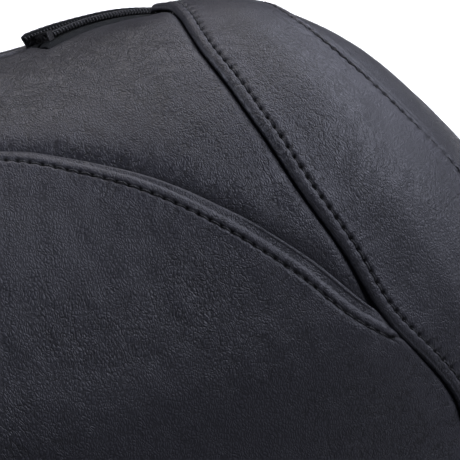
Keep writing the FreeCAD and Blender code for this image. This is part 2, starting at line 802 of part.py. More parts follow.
def zip_teeth():
    r = ZIP.tape_radius + TAPE_THICKNESS
    a = ZIP.half_angle
    return [ZIP.sector(-a, a, r, r + TEETH_HEIGHT, *sorted((side * TEETH_INNER, side * TEETH_OUTER)))
            for side in (1, -1)]


def zip_stop(from_angle):
    """Metal clip over the teeth at one end of the zip."""
    r = ZIP.tape_radius + TAPE_THICKNESS
    to_angle = from_angle + ZIP_STOP_LENGTH / ZIP.tape_radius
    outer = ZIP.sector(from_angle, to_angle, r, r + TEETH_HEIGHT + 0.7, -TEETH_OUTER - 0.6, TEETH_OUTER + 0.6)
    for row in zip_teeth():
        outer = outer.cut(row)
    return outer


STOP_ANGLE = ZIP_STOP_LENGTH / ZIP.tape_radius
SLIDER_ANGLE = 0.5 * SLIDER_LENGTH / ZIP.tape_radius
SLIDER_REST = ZIP.half_angle - STOP_ANGLE - SLIDER_ANGLE - 1.2 / ZIP.tape_radius
SLIDER_OPEN = -(ZIP.half_angle - STOP_ANGLE - SLIDER_ANGLE - 1.2 / ZIP.tape_radius)


def zip_slider():
    r = ZIP.tape_radius
    a0 = SLIDER_REST - SLIDER_ANGLE
    a1 = SLIDER_REST + SLIDER_ANGLE
    w = SLIDER_HALF_WIDTH
    under = r - 0.4
    over = r + SLIDER_TOP
    plates = [ZIP.sector(a0, a1, under - SLIDER_PLATE, under, -w, w),
              ZIP.sector(a0, a1, over, over + SLIDER_PLATE, -w, w),
              ZIP.sector(SLIDER_REST - 1.5 / r, SLIDER_REST + 1.5 / r, under - 0.2, over + 0.2, -0.3, 0.3)]
    for side in (1, -1):
        plates.append(ZIP.sector(a0, a1, r + TAPE_THICKNESS + 0.4, over + 0.2,
                                 *sorted((side * SLIDER_FLANGE_INNER, side * w))))
    top = over + SLIDER_PLATE - 0.1
    crown = 0.5 * CROWN_LENGTH / r
    post = CROWN_POST / r
    half = CROWN_WIDTH / 2
    bar = top + CROWN_OPENING
    plates += [ZIP.sector(SLIDER_REST - crown, SLIDER_REST - crown + post, top, bar + 0.1, -half, half),
               ZIP.sector(SLIDER_REST + crown - post, SLIDER_REST + crown, top, bar + 0.1, -half, half),
               ZIP.sector(SLIDER_REST - crown, SLIDER_REST + crown, bar, bar + CROWN_BAR, -half, half)]
    return union(plates)


PULL_RADIUS = ZIP.tape_radius + SLIDER_TOP + SLIDER_PLATE - 0.1 + 0.5 * CROWN_OPENING
PULL_ANGLE = SLIDER_REST + (0.5 * CROWN_LENGTH - CROWN_POST - PULL_PIN_RADIUS - 0.3) / ZIP.tape_radius


def zip_pull():
    """Pull tab: a pin through the slider's crown, two arms past it and a flat tab with a hole."""
    pivot = ZIP.point(PULL_ANGLE, PULL_RADIUS)
    along = ZIP.tangent(PULL_ANGLE)
    up = ZIP.direction(PULL_ANGLE)
    side = ZIP.axis

    def slab(from_length, to_length, from_side, to_side):
        base = pivot - up * (PULL_THICKNESS / 2)
        corners = [base + along * a + side * b for a, b in
                   ((from_length, from_side), (to_length, from_side), (to_length, to_side), (from_length, to_side))]
        return Part.Face(Part.makePolygon(corners + corners[:1])).extrude(up * PULL_THICKNESS)

    pin = Part.makeCylinder(PULL_PIN_RADIUS, 2 * PULL_ARM_OUTER, pivot - side * PULL_ARM_OUTER, side)
    arms = [slab(-PULL_PIN_RADIUS, PULL_ARM_LENGTH + 1, *sorted((s * PULL_ARM_INNER, s * PULL_ARM_OUTER))) for s in (1, -1)]
    tab = slab(PULL_ARM_LENGTH, PULL_ARM_LENGTH + PULL_TAB_LENGTH, -PULL_ARM_OUTER, PULL_ARM_OUTER)
    hole = Part.makeCylinder(1.5, 3, pivot + along * (PULL_ARM_LENGTH + PULL_TAB_LENGTH - 3.5) - up * 1.5, up)
    pull = union([pin, tab] + arms).cut(hole)
    pull.rotate(pivot, side, PULL_DROOP)
    return pull


# ---------------------------------------------------------------- the assembly
def write(name, shape):
    if not shape.isValid():
        print("not valid:", name)
    shape.exportStep("parts/%s.step" % name)


def write_pair(name, left_shape):
    write(name + "_left", left_shape)
    write(name + "_right", mirrored(left_shape))


foam = foam_block().cut(zip_groove())
hoop_space = union([hoop_tube(HOOP_RADIUS + SEAM_GAP)] + hoop_feet(SEAM_GAP)
                   + [upright(x, y, RIM_Z, RIM_Z + SEAM_GAP + FOOT_THICKNESS + 3.3, 5.8) for x, y in foot_bolt_places()])
gel_top = -(LEATHER + FOAM_CLEARANCE)
gel_pocket = panel(gel_place(0.02), 1.0, gel_top - GEL_THICKNESS - SEAM_GAP, 12, 12, "gel pocket")
joint_gap = Vector(0, SEAM_GAP, 0)
bolster_side = bolster_cutter()
seat_side = bolster_cutter()
seat_side.translate(joint_gap * -1)

write("foam_bolster", foam.common(bolster_side).cut(hoop_space))
write("foam_cushion", foam.cut(seat_side).cut(gel_pocket))
write("gel_pad", panel(gel_place(0), gel_top, gel_top - GEL_THICKNESS, 12, 12, "gel"))

write("cover_main_panel", panel(main_panel_place, 0, -LEATHER, 36, 28, "main panel"))
write("cover_bolster_cap", panel(bolster_cap_place, 0, -LEATHER, 14, 32, "bolster cap"))
write("cover_rear_panel", panel(rear_panel_place, 0, -LEATHER, 20, 32, "rear panel"))
write("cover_crest_bridge", panel(crest_bridge_place, 0, -LEATHER, 16, 4, "crest bridge"))
write("cover_nose", panel(nose_place, 0, -LEATHER, 8, 20, "nose"))
write_pair("cover_band", panel(band_place, BAND_RISE, BAND_RISE - LEATHER, 44, 8, "band"))
write_pair("cover_skirt", panel(skirt_place, 0, -LEATHER, 44, 12, "skirt"))
write("cover_hem", cover_hem())
write("hem_staples", hem_staples())

write("thread_arch", thread(arch_line, 48, -1))
write_pair("thread_band_inner", thread(inner_line, 60, 1))
write_pair("thread_band_outer", thread(outer_line, 60, -1))

write("base_pan", base_pan())
write("tack_strip", tack_strip())
write("mount_spacers", mount_spacers())
write("lumbar_hoop", lumbar_hoop())
write("hoop_bolts", hoop_bolts())
write("hoop_nuts", hoop_nuts())
write("rubber_pads", rubber_pads())
write("pad_screws", pad_screws())
write("rear_bracket", rear_bracket())
write("rear_rivets", rivets(TAB_RIVET_Y))
write("front_tongue", front_tongue())
write("front_rivets", rivets(TONGUE_RIVET_Y))

tapes = zip_tapes()
teeth = zip_teeth()
write_pair("zip_tape_rear", tapes[0])
write_pair("zip_tape_front", tapes[1])
write_pair("zip_teeth_rear", teeth[0])
write_pair("zip_teeth_front", teeth[1])
write_pair("zip_stop_inner", zip_stop(-ZIP.half_angle))
write_pair("zip_stop_outer", zip_stop(ZIP.half_angle - STOP_ANGLE))
write_pair("zip_slider", zip_slider())
write_pair("zip_pull", zip_pull())

pull_pivot = ZIP.point(PULL_ANGLE, PULL_RADIUS)
print("zip centre", ZIP.centre, "axis", ZIP.axis, "radius", round(ZIP.tape_radius, 2))
print("slider travel, degrees", round(math.degrees(SLIDER_REST - SLIDER_OPEN), 2))
print("pull pivot", pull_pivot)
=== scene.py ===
import json
import math

import bmesh
import bpy
import numpy as np
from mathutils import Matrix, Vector
from mathutils.geometry import delaunay_2d_cdt
from mathutils.kdtree import KDTree


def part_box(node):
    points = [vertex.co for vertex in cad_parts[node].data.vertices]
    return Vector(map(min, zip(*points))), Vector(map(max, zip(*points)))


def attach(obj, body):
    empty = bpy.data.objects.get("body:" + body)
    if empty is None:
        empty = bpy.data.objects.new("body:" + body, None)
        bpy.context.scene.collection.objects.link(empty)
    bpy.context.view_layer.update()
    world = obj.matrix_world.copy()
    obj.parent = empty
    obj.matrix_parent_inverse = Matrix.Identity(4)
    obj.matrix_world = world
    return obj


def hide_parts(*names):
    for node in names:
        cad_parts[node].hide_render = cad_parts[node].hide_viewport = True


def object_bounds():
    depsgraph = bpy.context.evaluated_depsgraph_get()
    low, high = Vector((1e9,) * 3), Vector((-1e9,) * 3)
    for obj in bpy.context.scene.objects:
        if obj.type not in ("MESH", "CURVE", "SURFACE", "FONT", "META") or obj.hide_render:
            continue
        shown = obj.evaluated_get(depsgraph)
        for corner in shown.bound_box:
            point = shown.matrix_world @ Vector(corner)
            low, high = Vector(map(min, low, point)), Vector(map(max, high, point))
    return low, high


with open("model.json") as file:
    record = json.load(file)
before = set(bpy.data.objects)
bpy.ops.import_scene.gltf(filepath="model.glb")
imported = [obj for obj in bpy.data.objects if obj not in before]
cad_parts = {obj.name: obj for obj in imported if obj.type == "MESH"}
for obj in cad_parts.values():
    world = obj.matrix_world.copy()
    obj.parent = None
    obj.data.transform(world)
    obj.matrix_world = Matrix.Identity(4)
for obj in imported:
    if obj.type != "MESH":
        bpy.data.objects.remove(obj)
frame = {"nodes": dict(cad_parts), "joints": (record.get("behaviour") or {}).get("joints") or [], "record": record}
cad_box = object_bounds()

MM = 0.001

# ---------------------------------------------------------------- the skin, in mm
# The values are the part's own, except the last three points of BAND_INNER_SEAM, which lie a little further
# out here.
# midline y and z, rim x and y, bulge, squareness of the shoulder, height of the side lobe
STATIONS = np.array((
    (-280, 30, 80, -272, 0, 2.6, 0),
    (-285, 62, 98, -258, 6, 2.6, 0),
    (-264, 93, 108, -232, 10, 2.8, 0),
    (-190, 100, 120, -170, 12, 3.0, 0),
    (-110, 93, 140, -100, 12, 3.2, 0),
    (-30, 86, 172, -35, 12, 3.2, 3),
    (30, 90, 197, 10, 12, 3.0, 5),
    (66, 120, 208, 50, 12, 2.8, 8),
    (90, 172, 213, 88, 12, 3.2, 13),
    (128, 217, 212, 125, 12, 3.2, 18),
    (185, 235, 205, 160, 12, 3.2, 20),
    (232, 212, 190, 192, 12, 3.2, 15),
    (256, 160, 168, 220, 10, 3.2, 8),
    (262, 95, 140, 240, 6, 2.6, 3),
    (262, 30, 110, 254, 0, 2.6, 0),
), float)
LAST = len(STATIONS) - 1
RIM_Z = 30.0
LOBE_SKEW = 1.3
# Seams on the skin: (station, share of the rib's length from midline to rim), and for the arch (share of the
# way to the band, station). Many of these points, and most of the arch's, were copied from the output of a
# fitting program, so they don't follow from the driving dimensions.
BAND_INNER_SEAM = (
    (0.0, 0.50), (1.0, 0.50), (3.0, 0.55), (5.0, 0.575), (6.5, 0.545), (7.54, 0.455), (7.94, 0.362),
    (8.29, 0.317), (8.62, 0.279), (8.96, 0.254), (9.24, 0.241), (9.58, 0.231), (10.12, 0.237), (11.0, 0.24),
)
BAND_OUTER_SEAM = (
    (0.0, 0.62), (1.5, 0.63), (3.0, 0.68), (5.0, 0.70), (6.5, 0.685), (7.8, 0.625), (8.4, 0.548),
    (8.83, 0.465), (9.08, 0.411), (9.25, 0.386), (9.51, 0.357), (9.81, 0.335), (10.4, 0.342),
    (11.2, 0.35), (12.4, 0.39), (14.0, 0.46),
)
ARCH_SEAM = (
    (0.0, 9.27), (0.2, 9.24), (0.38, 9.12), (0.58, 8.90), (0.76, 8.59), (0.87, 8.30), (0.95, 8.05),
    (1.0, 7.94),
)
NOSE_SEAM = 1.0
NOSE_GAP = 0.004
ZIP_END_STATION = 10.2

# Sewing
STITCH_PITCH = 3.6
SAMPLES_PER_STITCH = 10
STITCH_OFFSET = 3.8
THREAD_RADIUS = 0.24
FOLD_INSET = 0.9
UNDERLAP = 2.6
LEATHER = 1.8
BAND_RISE = 0.4
BAND_CROWN = 2.2

# Heights over the skin by distance from a seam, both in mm
FOLD = (
    (0.9, 0.5), (1.3, 0.72), (2.0, 0.85), (3.0, 0.85), (3.8, 0.75), (4.6, 0.8), (6, 0.7), (10, 0.45),
    (17, 0.15), (26, 0),
)
UNDER_ARCH = ((-3, -2.6), (0, -2.6), (0.8, -2.3), (2, -1.6), (4, -0.85), (7, -0.25), (12, 0))
UNDER = ((-3, -2.2), (0, -1.3), (0.6, -0.65), (1.4, -0.2), (3, 0.05), (7, 0))
BUTT = ((0, -1.5), (0.8, -0.75), (2.2, -0.15), (5, 0.15), (11, 0))
HEMMED = ((0, -0.2), (0.8, 0.25), (2.0, 0.4), (4.5, 0.25), (9, 0))
TUCK = ((0, 0), (3, 0.35), (10, 0.5), (22, 0.2), (40, 0))
ARCH_FOLD = 1.25
GROOVE_DEPTH = 0.3
HOLE_DEPTH = 0.9
PUFF = 0.06
STITCH_LEVEL = 0.75 - GROOVE_DEPTH
SEAM_REACH = 30.0

# The zips' openings: sides of the teeth's line at which the leather ends, and the tapes' sections
ZIP_EDGE = 5.3
ZIP_REAR_EDGE = 6.1
BRIDGE_EDGE = 2.5
CREST_DIP = (
    (-0.1, 0), (0.0, 0.1), (0.12, 0.3), (0.25, 0.8), (0.4, 1.6), (0.55, 2.4), (0.7, 2.7), (0.85, 2.3),
    (1.0, 1.3), (1.2, 0),
)
COIL_PITCH = 1.3
COIL_WIRE = 0.27
LOOP_WIRE = 0.24
LOOP_STEPS = 14
WIRE_SIDES = 8
TAPE_OVERHANG = 2.6
REAR_TAPE_SECTION = (
    (0.7, 0.45), (2.9, 0.5), (4.2, 0.55), (4.75, 1.1), (4.95, 2.2), (4.95, 3.3), (4.85, 3.75), (4.95, 4.15),
    (5.3, 4.4), (5.65, 4.3), (5.85, 3.85), (5.65, 3.35), (5.4, 2.2), (5.2, 0.9), (4.7, 0.2), (4.0, 0.02),
    (2.9, 0.02), (0.7, 0.05),
)
FRONT_TAPE_SECTION = (
    (-0.7, 0.5), (-2.9, 0.5), (-3.8, 0.25), (-4.6, -0.7), (-5.6, -2.4), (-7.0, -3.4),
    (-6.8, -3.8), (-5.3, -2.8), (-4.3, -1.1), (-3.6, -0.2), (-2.9, 0.02), (-0.7, 0.05),
)
BEAD_LIFT = ((0, 0.8), (0.12, 0.1), (0.3, -0.55), (0.5, -0.3), (0.75, 0.0), (0.9, 0.3), (1, 0.1))

# The foam under the cover
FOAM_DEPTH = 4.4
FOAM_GROOVE = 8.0
JOINT_FOOT_Y = 20.0
JOINT_LEAN = 0.15
GEL_STATIONS = (3.2, 5.5)
GEL_HALF_SPAN = 0.42
GEL_THICKNESS = 12.0

# The hem under the pan
HEM_WIDTH = 24.0
HEM_THICKNESS = 1.8
BRACKET_WIDTH = 46.0

# The camera's place and lens, and the light of the surround; lengths are shares of the seat's box
CAMERA_ANGLES = (-23.13, 24.32)
CAMERA_AIM = (0.671, 0.698, 0.816)
CAMERA_DISTANCE = 0.7316
CAMERA_LENS = 115.1
SURROUND = 0.01
COOL = (0.90, 0.93, 1.12)
LIGHTS = (
    ("left_soft", (-2.2, 0.9, 1.2), (1.6, 1.6), 14, COOL),
    ("right_back", (1.55, 1.1, 1.5), (1.1, 1.1), 5.4, COOL),
    ("right_high", (1.5, -0.55, 1.8), (1.0, 1.0), 8.0, COOL),
    ("front_soft", (-0.6, -2.2, 1.6), (1.6, 1.2), 1.5, COOL),
    ("back_high", (0.38, 1.43, 1.9), (1.2, 1.0), 4.8, (0.98, 0.95, 1.0)),
    ("right_low", (2.08, -0.07, 1.2), (1.0, 1.0), 3.2, COOL),
)


def station_values(u):
    """The station table's values at places between stations, on smooth curves."""
    first = np.minimum(u.astype(int), LAST - 1)
    part = (u - first)[:, None]
    padded = np.vstack([2 * STATIONS[0] - STATIONS[1], STATIONS, 2 * STATIONS[-1] - STATIONS[-2]])
    a, b, c, d = (padded[first + k] for k in range(4))
    return 0.5 * (2 * b + (c - a) * part + (2 * a - 5 * b + 4 * c - d) * part ** 2
                  + (3 * b - a - 3 * c + d) * part ** 3)


def smooth(points, x):
    """Values at x of a smooth curve through (x, value) points, level outside them."""
    px, py = np.array(points, float).T
    slope = np.gradient(py, px)
    slope[1:-1] = (py[2:] - py[:-2]) / (px[2:] - px[:-2])
    x = np.clip(x, px[0], px[-1])
    i = np.clip(np.searchsorted(px, x) - 1, 0, len(px) - 2)
    width = px[i + 1] - px[i]
    f = (x - px[i]) / width
    return (py[i] * (1 + 2 * f) * (1 - f) ** 2 + py[i + 1] * f * f * (3 - 2 * f)
            + width * (slope[i] * f * (1 - f) ** 2 - slope[i + 1] * f * f * (1 - f)))


def ramp(low, high, x):
    f = np.clip((x - low) / (high - low), 0, 1)
    return f * f * (3 - 2 * f)


def unit(v):
    return v / np.maximum(np.linalg.norm(v, axis=-1, keepdims=True), 1e-9)


class Skin:
    """The seat's outer surface: a point for each station u and signed span share t."""
    PER_STATION = 40
    HALF = 240

    def __init__(self):
        u = np.linspace(0, LAST, LAST * self.PER_STATION + 1)
        mid_y, mid_z, rim_x, rim_y, bulge, shoulder, lobe = (v[:, None] for v in station_values(u).T)
        share = np.linspace(0, 1, 801)
        angle = 0.5 * math.pi * share ** 2 * (3 - 2 * share)
        out = np.sin(angle) ** (2 / shoulder)
        down = 1 - np.clip(np.cos(angle), 0, 1) ** (2 / shoulder)
        rise = lobe * np.sin(math.pi * out ** LOBE_SKEW) ** 2
        run = rim_y - mid_y
        fall = RIM_Z - mid_z
        slant = np.hypot(run, fall) + 1e-9
        ribs = np.stack([rim_x * out + bulge * np.sin(math.pi * down),
                         mid_y + run * down - rise * run / slant,
                         mid_z + fall * down - rise * fall / slant], -1)
        steps = np.linalg.norm(np.diff(ribs, axis=1), axis=-1)
        lengths = np.concatenate([np.zeros((len(u), 1)), np.cumsum(steps, 1)], 1)
        self.rib_length = lengths[:, -1]
        half = np.empty((len(u), self.HALF + 1, 3))
        for i in range(len(u)):
            even = np.linspace(0, lengths[i, -1], self.HALF + 1)
            for k in range(3):
                half[i, :, k] = np.interp(even, lengths[i], ribs[i, :, k])
        other = half[:, :0:-1] * np.array((-1, 1, 1))
        self.table = np.concatenate([other, half], 1)

    def point(self, u, t):
        """Smooth value of the table at stations u and shares t, of any one shape."""
        a = np.clip(u, 0, LAST) * self.PER_STATION
        b = (np.clip(t, -1, 1) + 1) * self.HALF
        i = np.clip(a.astype(int), 0, len(self.table) - 2)
        j = np.clip(b.astype(int), 0, 2 * self.HALF - 1)

        def weights(f):
            return (0.5 * (-f + 2 * f ** 2 - f ** 3), 0.5 * (2 - 5 * f ** 2 + 3 * f ** 3),
                    0.5 * (f + 4 * f ** 2 - 3 * f ** 3), 0.5 * (f ** 3 - f ** 2))

        total = 0.0
        for p, wp in enumerate(weights(a - i)):
            row = np.clip(i + p - 1, 0, len(self.table) - 1)
            for q, wq in enumerate(weights(b - j)):
                column = np.clip(j + q - 1, 0, 2 * self.HALF)
                total = total + self.table[row, column] * (wp * wq)[..., None]
        return total

    def normal(self, u, t):
        du, dt = 0.02, 0.003
        along = self.point(u + du, t) - self.point(u - du, t)
        across = self.point(u, t + dt) - self.point(u, t - dt)
        return unit(np.cross(across, along))

    def length(self, u):
        """Length of the rib from midline to rim."""
        return np.interp(u, np.linspace(0, LAST, len(self.rib_length)), self.rib_length)


SKIN = Skin()


# ---------------------------------------------------------------- the zip's arc, from the frame
class ZipArc:
    """The circle that the left zip follows; the right one mirrors it."""

    def __init__(self):
        joint = next(j for j in frame["joints"] if j["name"] == "zip_slider_turn_left")
        self.centre = np.array(joint["pos_m"]) / MM
        self.axis = -unit(np.array(joint["axis"]))
        tape = self.node_points("zip_tape_front_left")
        middle = tape.mean(0) - self.centre
        self.up = unit(middle - self.axis * (middle @ self.axis))
        self.along = np.cross(self.axis, self.up)
        radius, angle, _ = self.measure(tape)
        self.radius = radius.min()
        self.from_angle = angle.min()
        self.to_angle = angle.max()
        radius, _, side = self.measure(self.node_points("zip_teeth_rear_left"))
        self.teeth_top = radius.max() - self.radius
        self.teeth_inner = side.min()
        self.teeth_outer = side.max()

    @staticmethod
    def node_points(node):
        mesh = frame["nodes"][node].data
        points = np.empty(len(mesh.vertices) * 3)
        mesh.vertices.foreach_get("co", points)
        return points.reshape(-1, 3) / MM

    def measure(self, points):
        """Radius, angle from the arc's middle and side of points."""
        v = points - self.centre
        up = v @ self.up
        along = v @ self.along
        return np.hypot(up, along), np.arctan2(along, up), v @ self.axis

    def place(self, angle, height, side):
        """Points at angles along the arc, heights over the tape's underside and sides of the line."""
        angle, height, side = np.broadcast_arrays(angle, height, side)
        radial = np.cos(angle)[..., None] * self.up + np.sin(angle)[..., None] * self.along
        return self.centre + radial * (self.radius + height)[..., None] + side[..., None] * self.axis


ZIP = ZipArc()


def zip_side(u, t):
    return (SKIN.point(u, t) - ZIP.centre) @ ZIP.axis


def on_zip_plane(t, side=0.0):
    """Station at which the skin lies that far to the zip's side, at shares t."""
    low = np.full_like(t, 9.5)
    high = np.full_like(t, 11.9)
    rising = zip_side(high, t) > zip_side(low, t)
    for _ in range(30):
        middle = 0.5 * (low + high)
        short = (zip_side(middle, t) < side) == rising
        low = np.where(short, middle, low)
        high = np.where(short, high, middle)
    return low


def span_of_zip_end(x, u):
    shares = np.linspace(0.02, 0.5, 400)
    return float(np.interp(x, SKIN.point(np.full(400, u), shares)[:, 0], shares))


ZIP_START = ZIP.place(ZIP.from_angle, 0.0, 0.0)
INNER_T = span_of_zip_end(ZIP_START[0], ZIP_END_STATION)


def crest_edge(t, side):
    """Station of the line beside the crest seam: along the zips, and joined smoothly over the midline."""
    t = np.abs(np.asarray(t, float))
    on_zip = on_zip_plane(np.maximum(t, INNER_T), side)
    start = on_zip_plane(np.array([INNER_T, INNER_T + 0.005]), side)
    slope = (start[1] - start[0]) / 0.005
    bridge = start[0] - slope * (INNER_T ** 2 - t ** 2) / (2 * INNER_T)
    return np.where(t < INNER_T, bridge, on_zip)


def inner_seam(u):
    return smooth(BAND_INNER_SEAM, u)


def outer_seam(u):
    return smooth(BAND_OUTER_SEAM, u)


def arch_station(share):
    return smooth(ARCH_SEAM, np.abs(share))


def per_mm(u, t):
    """Change of station that moves a place one mm along the seat."""
    step = np.linalg.norm(SKIN.point(u + 0.1, t) - SKIN.point(u - 0.1, t), axis=-1)
    return 0.2 / np.maximum(step, 1e-6)


# ---------------------------------------------------------------- meshes
def make_object(name, points, groups, material, marks=None):
    """Smooth-shaded mesh object from points in mm, groups of faces, and named values per point."""
    mesh = bpy.data.meshes.new(name)
    mesh.vertices.add(len(points))
    mesh.vertices.foreach_set("co", (np.asarray(points) * MM).astype(np.float32).ravel())
    corners = np.concatenate([np.asarray(g, np.int32).ravel() for g in groups])
    totals = np.concatenate([np.full(len(g), np.shape(g)[1], np.int32) for g in groups])
    mesh.loops.add(len(corners))
    mesh.loops.foreach_set("vertex_index", corners)
    mesh.polygons.add(len(totals))
    mesh.polygons.foreach_set("loop_start", np.concatenate([[0], np.cumsum(totals)[:-1]]).astype(np.int32))
    mesh.polygons.foreach_set("loop_total", totals)
    for key, values in (marks or {}).items():
        mark = mesh.attributes.new(key, "FLOAT", "POINT")
        mark.data.foreach_set("value", np.asarray(values, np.float32))
    mesh.update(calc_edges=True)
    mesh.validate()
    mesh.polygons.foreach_set("use_smooth", np.ones(len(mesh.polygons), bool))
    mesh.materials.append(material)
    made = bpy.data.objects.new(name, mesh)
    bpy.context.scene.collection.objects.link(made)
    return made


def cells(corner, up):
    """Quads with these first corners in a grid whose next row used is that many indices on."""
    return np.stack([corner, corner + 1, corner + up + 1, corner + up], -1)


def grid_faces(rows, columns):
    i, j = np.meshgrid(np.arange(rows - 1), np.arange(columns - 1), indexing="ij")
    return cells(i * columns + j, columns).reshape(-1, 4)


def mixed_faces(rows, columns, fine, step):
    """Faces of a grid that skips rows where a column isn't fine: quads, and triangles where the two meet."""
    every = np.arange(rows - 1)
    few = np.arange(0, rows - 1, step)
    quads = []
    triangles = []
    for j in range(columns - 1):
        if fine[j] and fine[j + 1]:
            quads.append(cells(every * columns + j, columns))
            continue
        a = few * columns + j
        up = step * columns
        if fine[j] == fine[j + 1]:
            quads.append(cells(a, up))
            continue
        dense = a if fine[j] else a + 1
        sparse = a + 1 if fine[j] else a
        half = step // 2
        corners = []
        for k in range(step):
            apex = sparse if k < half else sparse + up
            corners.append((dense + k * columns, apex, dense + (k + 1) * columns))
        corners.append((dense + half * columns, sparse, sparse + up))
        for one, two, three in corners:
            order = (one, two, three) if fine[j] else (one, three, two)
            triangles.append(np.stack(order, -1))
    joining = np.concatenate(triangles) if triangles else np.empty((0, 3), int)
    return np.concatenate(quads), joining


def thinned_grid(rows, columns, step=5):
    """Indices of a grid's rim and of a few places within, and triangles of them that fill the grid."""
    inner_rows = np.arange(step, rows - step, step)
    inner_columns = np.arange(step, columns - step, step)
    i, j = np.meshgrid(inner_rows, inner_columns, indexing="ij")
    loop = rim_loop(rows, columns)
    chosen = np.concatenate([loop, (i * columns + j).ravel()])
    flat = [Vector((float(k // columns), float(k % columns))) for k in chosen]
    edges = [(k, (k + 1) % len(loop)) for k in range(len(loop))]
    result = delaunay_2d_cdt(flat, edges, [], 0, 1e-5, True)
    source = np.array([names[0] for names in result[3]])
    return chosen, source[np.array(result[2])]


def rim_loop(rows, columns):
    """Indices of a grid's boundary, in order round it."""
    top = np.arange(columns)
    right = np.arange(1, rows) * columns + columns - 1
    low = (rows - 1) * columns + np.arange(columns - 2, -1, -1)
    left = np.arange(rows - 2, 0, -1) * columns
    return np.concatenate([top, right, low, left])


def closed_sheet(outer, inner, fine=None, step=3, roundness=1.0, rings=3):
    """Points, quads and triangles of a closed sheet: a fine outer grid, a coarse inner one, a round rim.

    Where columns aren't fine, the outer grid keeps only one row in every step.
    """
    rows, columns = outer.shape[:2]
    count = rows * columns
    loop = rim_loop(rows, columns)
    chosen, triangles = thinned_grid(rows, columns)
    top = outer.reshape(-1, 3)[loop]
    low = inner.reshape(-1, 3)[loop]
    i, j = loop // columns, loop % columns
    inside = outer[np.clip(i, 1, rows - 2), np.clip(j, 1, columns - 2)]
    tangent = unit(np.roll(top, -1, 0) - np.roll(top, 1, 0))
    away = top - inside
    away = unit(away - tangent * np.sum(away * tangent, -1, keepdims=True))
    for _ in range(3):
        away = unit(away + np.roll(away, 1, 0) + np.roll(away, -1, 0))
    middle = 0.5 * (top + low)
    half = 0.5 * np.linalg.norm(top - low, axis=-1, keepdims=True)
    points = [outer.reshape(-1, 3), inner.reshape(-1, 3)[chosen]]
    lines = [loop]
    for k in range(1, rings + 1):
        turn = math.pi * k / (rings + 1)
        points.append(middle + (top - middle) * math.cos(turn) + away * half * roundness * math.sin(turn))
        lines.append(count + len(chosen) + (k - 1) * len(loop) + np.arange(len(loop)))
    lines.append(count + np.arange(len(loop)))
    if fine is None:
        quads = [grid_faces(rows, columns)]
        triangles = triangles + count
    else:
        surface, joining = mixed_faces(rows, columns, fine, step)
        quads = [surface]
        triangles = np.concatenate([triangles + count, joining])
    for upper, lower in zip(lines, lines[1:]):
        quads.append(np.stack([upper, lower, np.roll(lower, -1), np.roll(upper, -1)], -1))
    points = np.concatenate(points)
    quads = np.concatenate(quads)
    a, b, c = (points[quads[0, k]] for k in (0, 1, 3))
    if np.cross(b - a, c - a) @ (outer[0, 0] - inner[0, 0]) < 0:
        quads = quads[:, ::-1]
        triangles = triangles[:, ::-1]
    return points, quads, triangles


def graded(length, coarse, fine, reach=10.0, at_start=True, at_end=True):
    """Shares from 0 to 1 that lie closer together near the ends."""
    x = np.linspace(0, length, 4000)
    crowd = np.zeros_like(x)
    if at_start:
        crowd += np.exp(-(x / reach) ** 4)
    if at_end:
        crowd += np.exp(-((length - x) / reach) ** 4)
    density = 1 / coarse + (1 / fine - 1 / coarse) * np.minimum(crowd, 1)
    total = np.concatenate([[0], np.cumsum(0.5 * (density[1:] + density[:-1]) * np.diff(x))])
    steps = int(round(total[-1]))
    return np.interp(np.linspace(0, total[-1], steps + 1), total, x) / length


class SeamLine:
    """A seam's edge on the skin, evenly sampled, with the distance and the run of any point from it."""
    STEP = 0.25

    def __init__(self, u, t):
        points = SKIN.point(u, t)
        run = np.concatenate([[0], np.cumsum(np.linalg.norm(np.diff(points, axis=0), axis=-1))])
        self.length = run[-1]
        even = np.arange(0, run[-1], self.STEP)
        self.run = even
        self.u = np.interp(even, run, u)
        self.t = np.interp(even, run, t)
        self.points = SKIN.point(self.u, self.t)
        self.normals = SKIN.normal(self.u, self.t)
        self.tree = KDTree(len(even))
        for k, p in enumerate(self.points):
            self.tree.insert(p, k)
        self.tree.balance()

    def near(self, points, reach=SEAM_REACH):
        """Distance and run along the seam for each point; points out of reach get the reach."""
        flat = points.reshape(-1, 3)
        low = self.points.min(0) - reach
        high = self.points.max(0) + reach
        close = np.all((flat > low) & (flat < high), -1)
        distance = np.full(len(flat), reach)
        run = np.zeros(len(flat))
        for k in np.flatnonzero(close):
            _, index, gap = self.tree.find(flat[k])
            distance[k] = gap
            run[k] = index * self.STEP
        return np.minimum(distance, reach).reshape(points.shape[:-1]), run.reshape(points.shape[:-1])

    def beside(self, run, offset):
        """Points, normals and directions at runs along the seam, that far to its side."""
        k = np.clip(np.asarray(run) / self.STEP, 0, len(self.points) - 1.001)
        i = k.astype(int)
        f = (k - i)[:, None]
        place = self.points[i] * (1 - f) + self.points[i + 1] * f
        normal = unit(self.normals[i] * (1 - f) + self.normals[i + 1] * f)
        low = np.clip(i - 4, 0, len(self.points) - 1)
        high = np.clip(i + 5, 0, len(self.points) - 1)
        ahead = unit(self.points[high] - self.points[low])
        side = unit(np.cross(normal, ahead))
        return place + side * offset, normal, ahead


def waves(points, length, seed, count=9):
    """Smooth irregular waves of about one length through space, from -1 to 1 for the most part."""
    source = np.random.default_rng(seed)
    total = 0.0
    for _ in range(count):
        direction = unit(source.normal(size=3)) * (2 * math.pi / (length * source.uniform(0.7, 1.5)))
        total = total + np.sin(points @ direction + source.uniform(0, 2 * math.pi))
    return total / math.sqrt(count)


def bell(x, middle, width):
    """1 at the middle, falling smoothly to 0 on both sides."""
    return np.exp(-((x - middle) / width) ** 2)


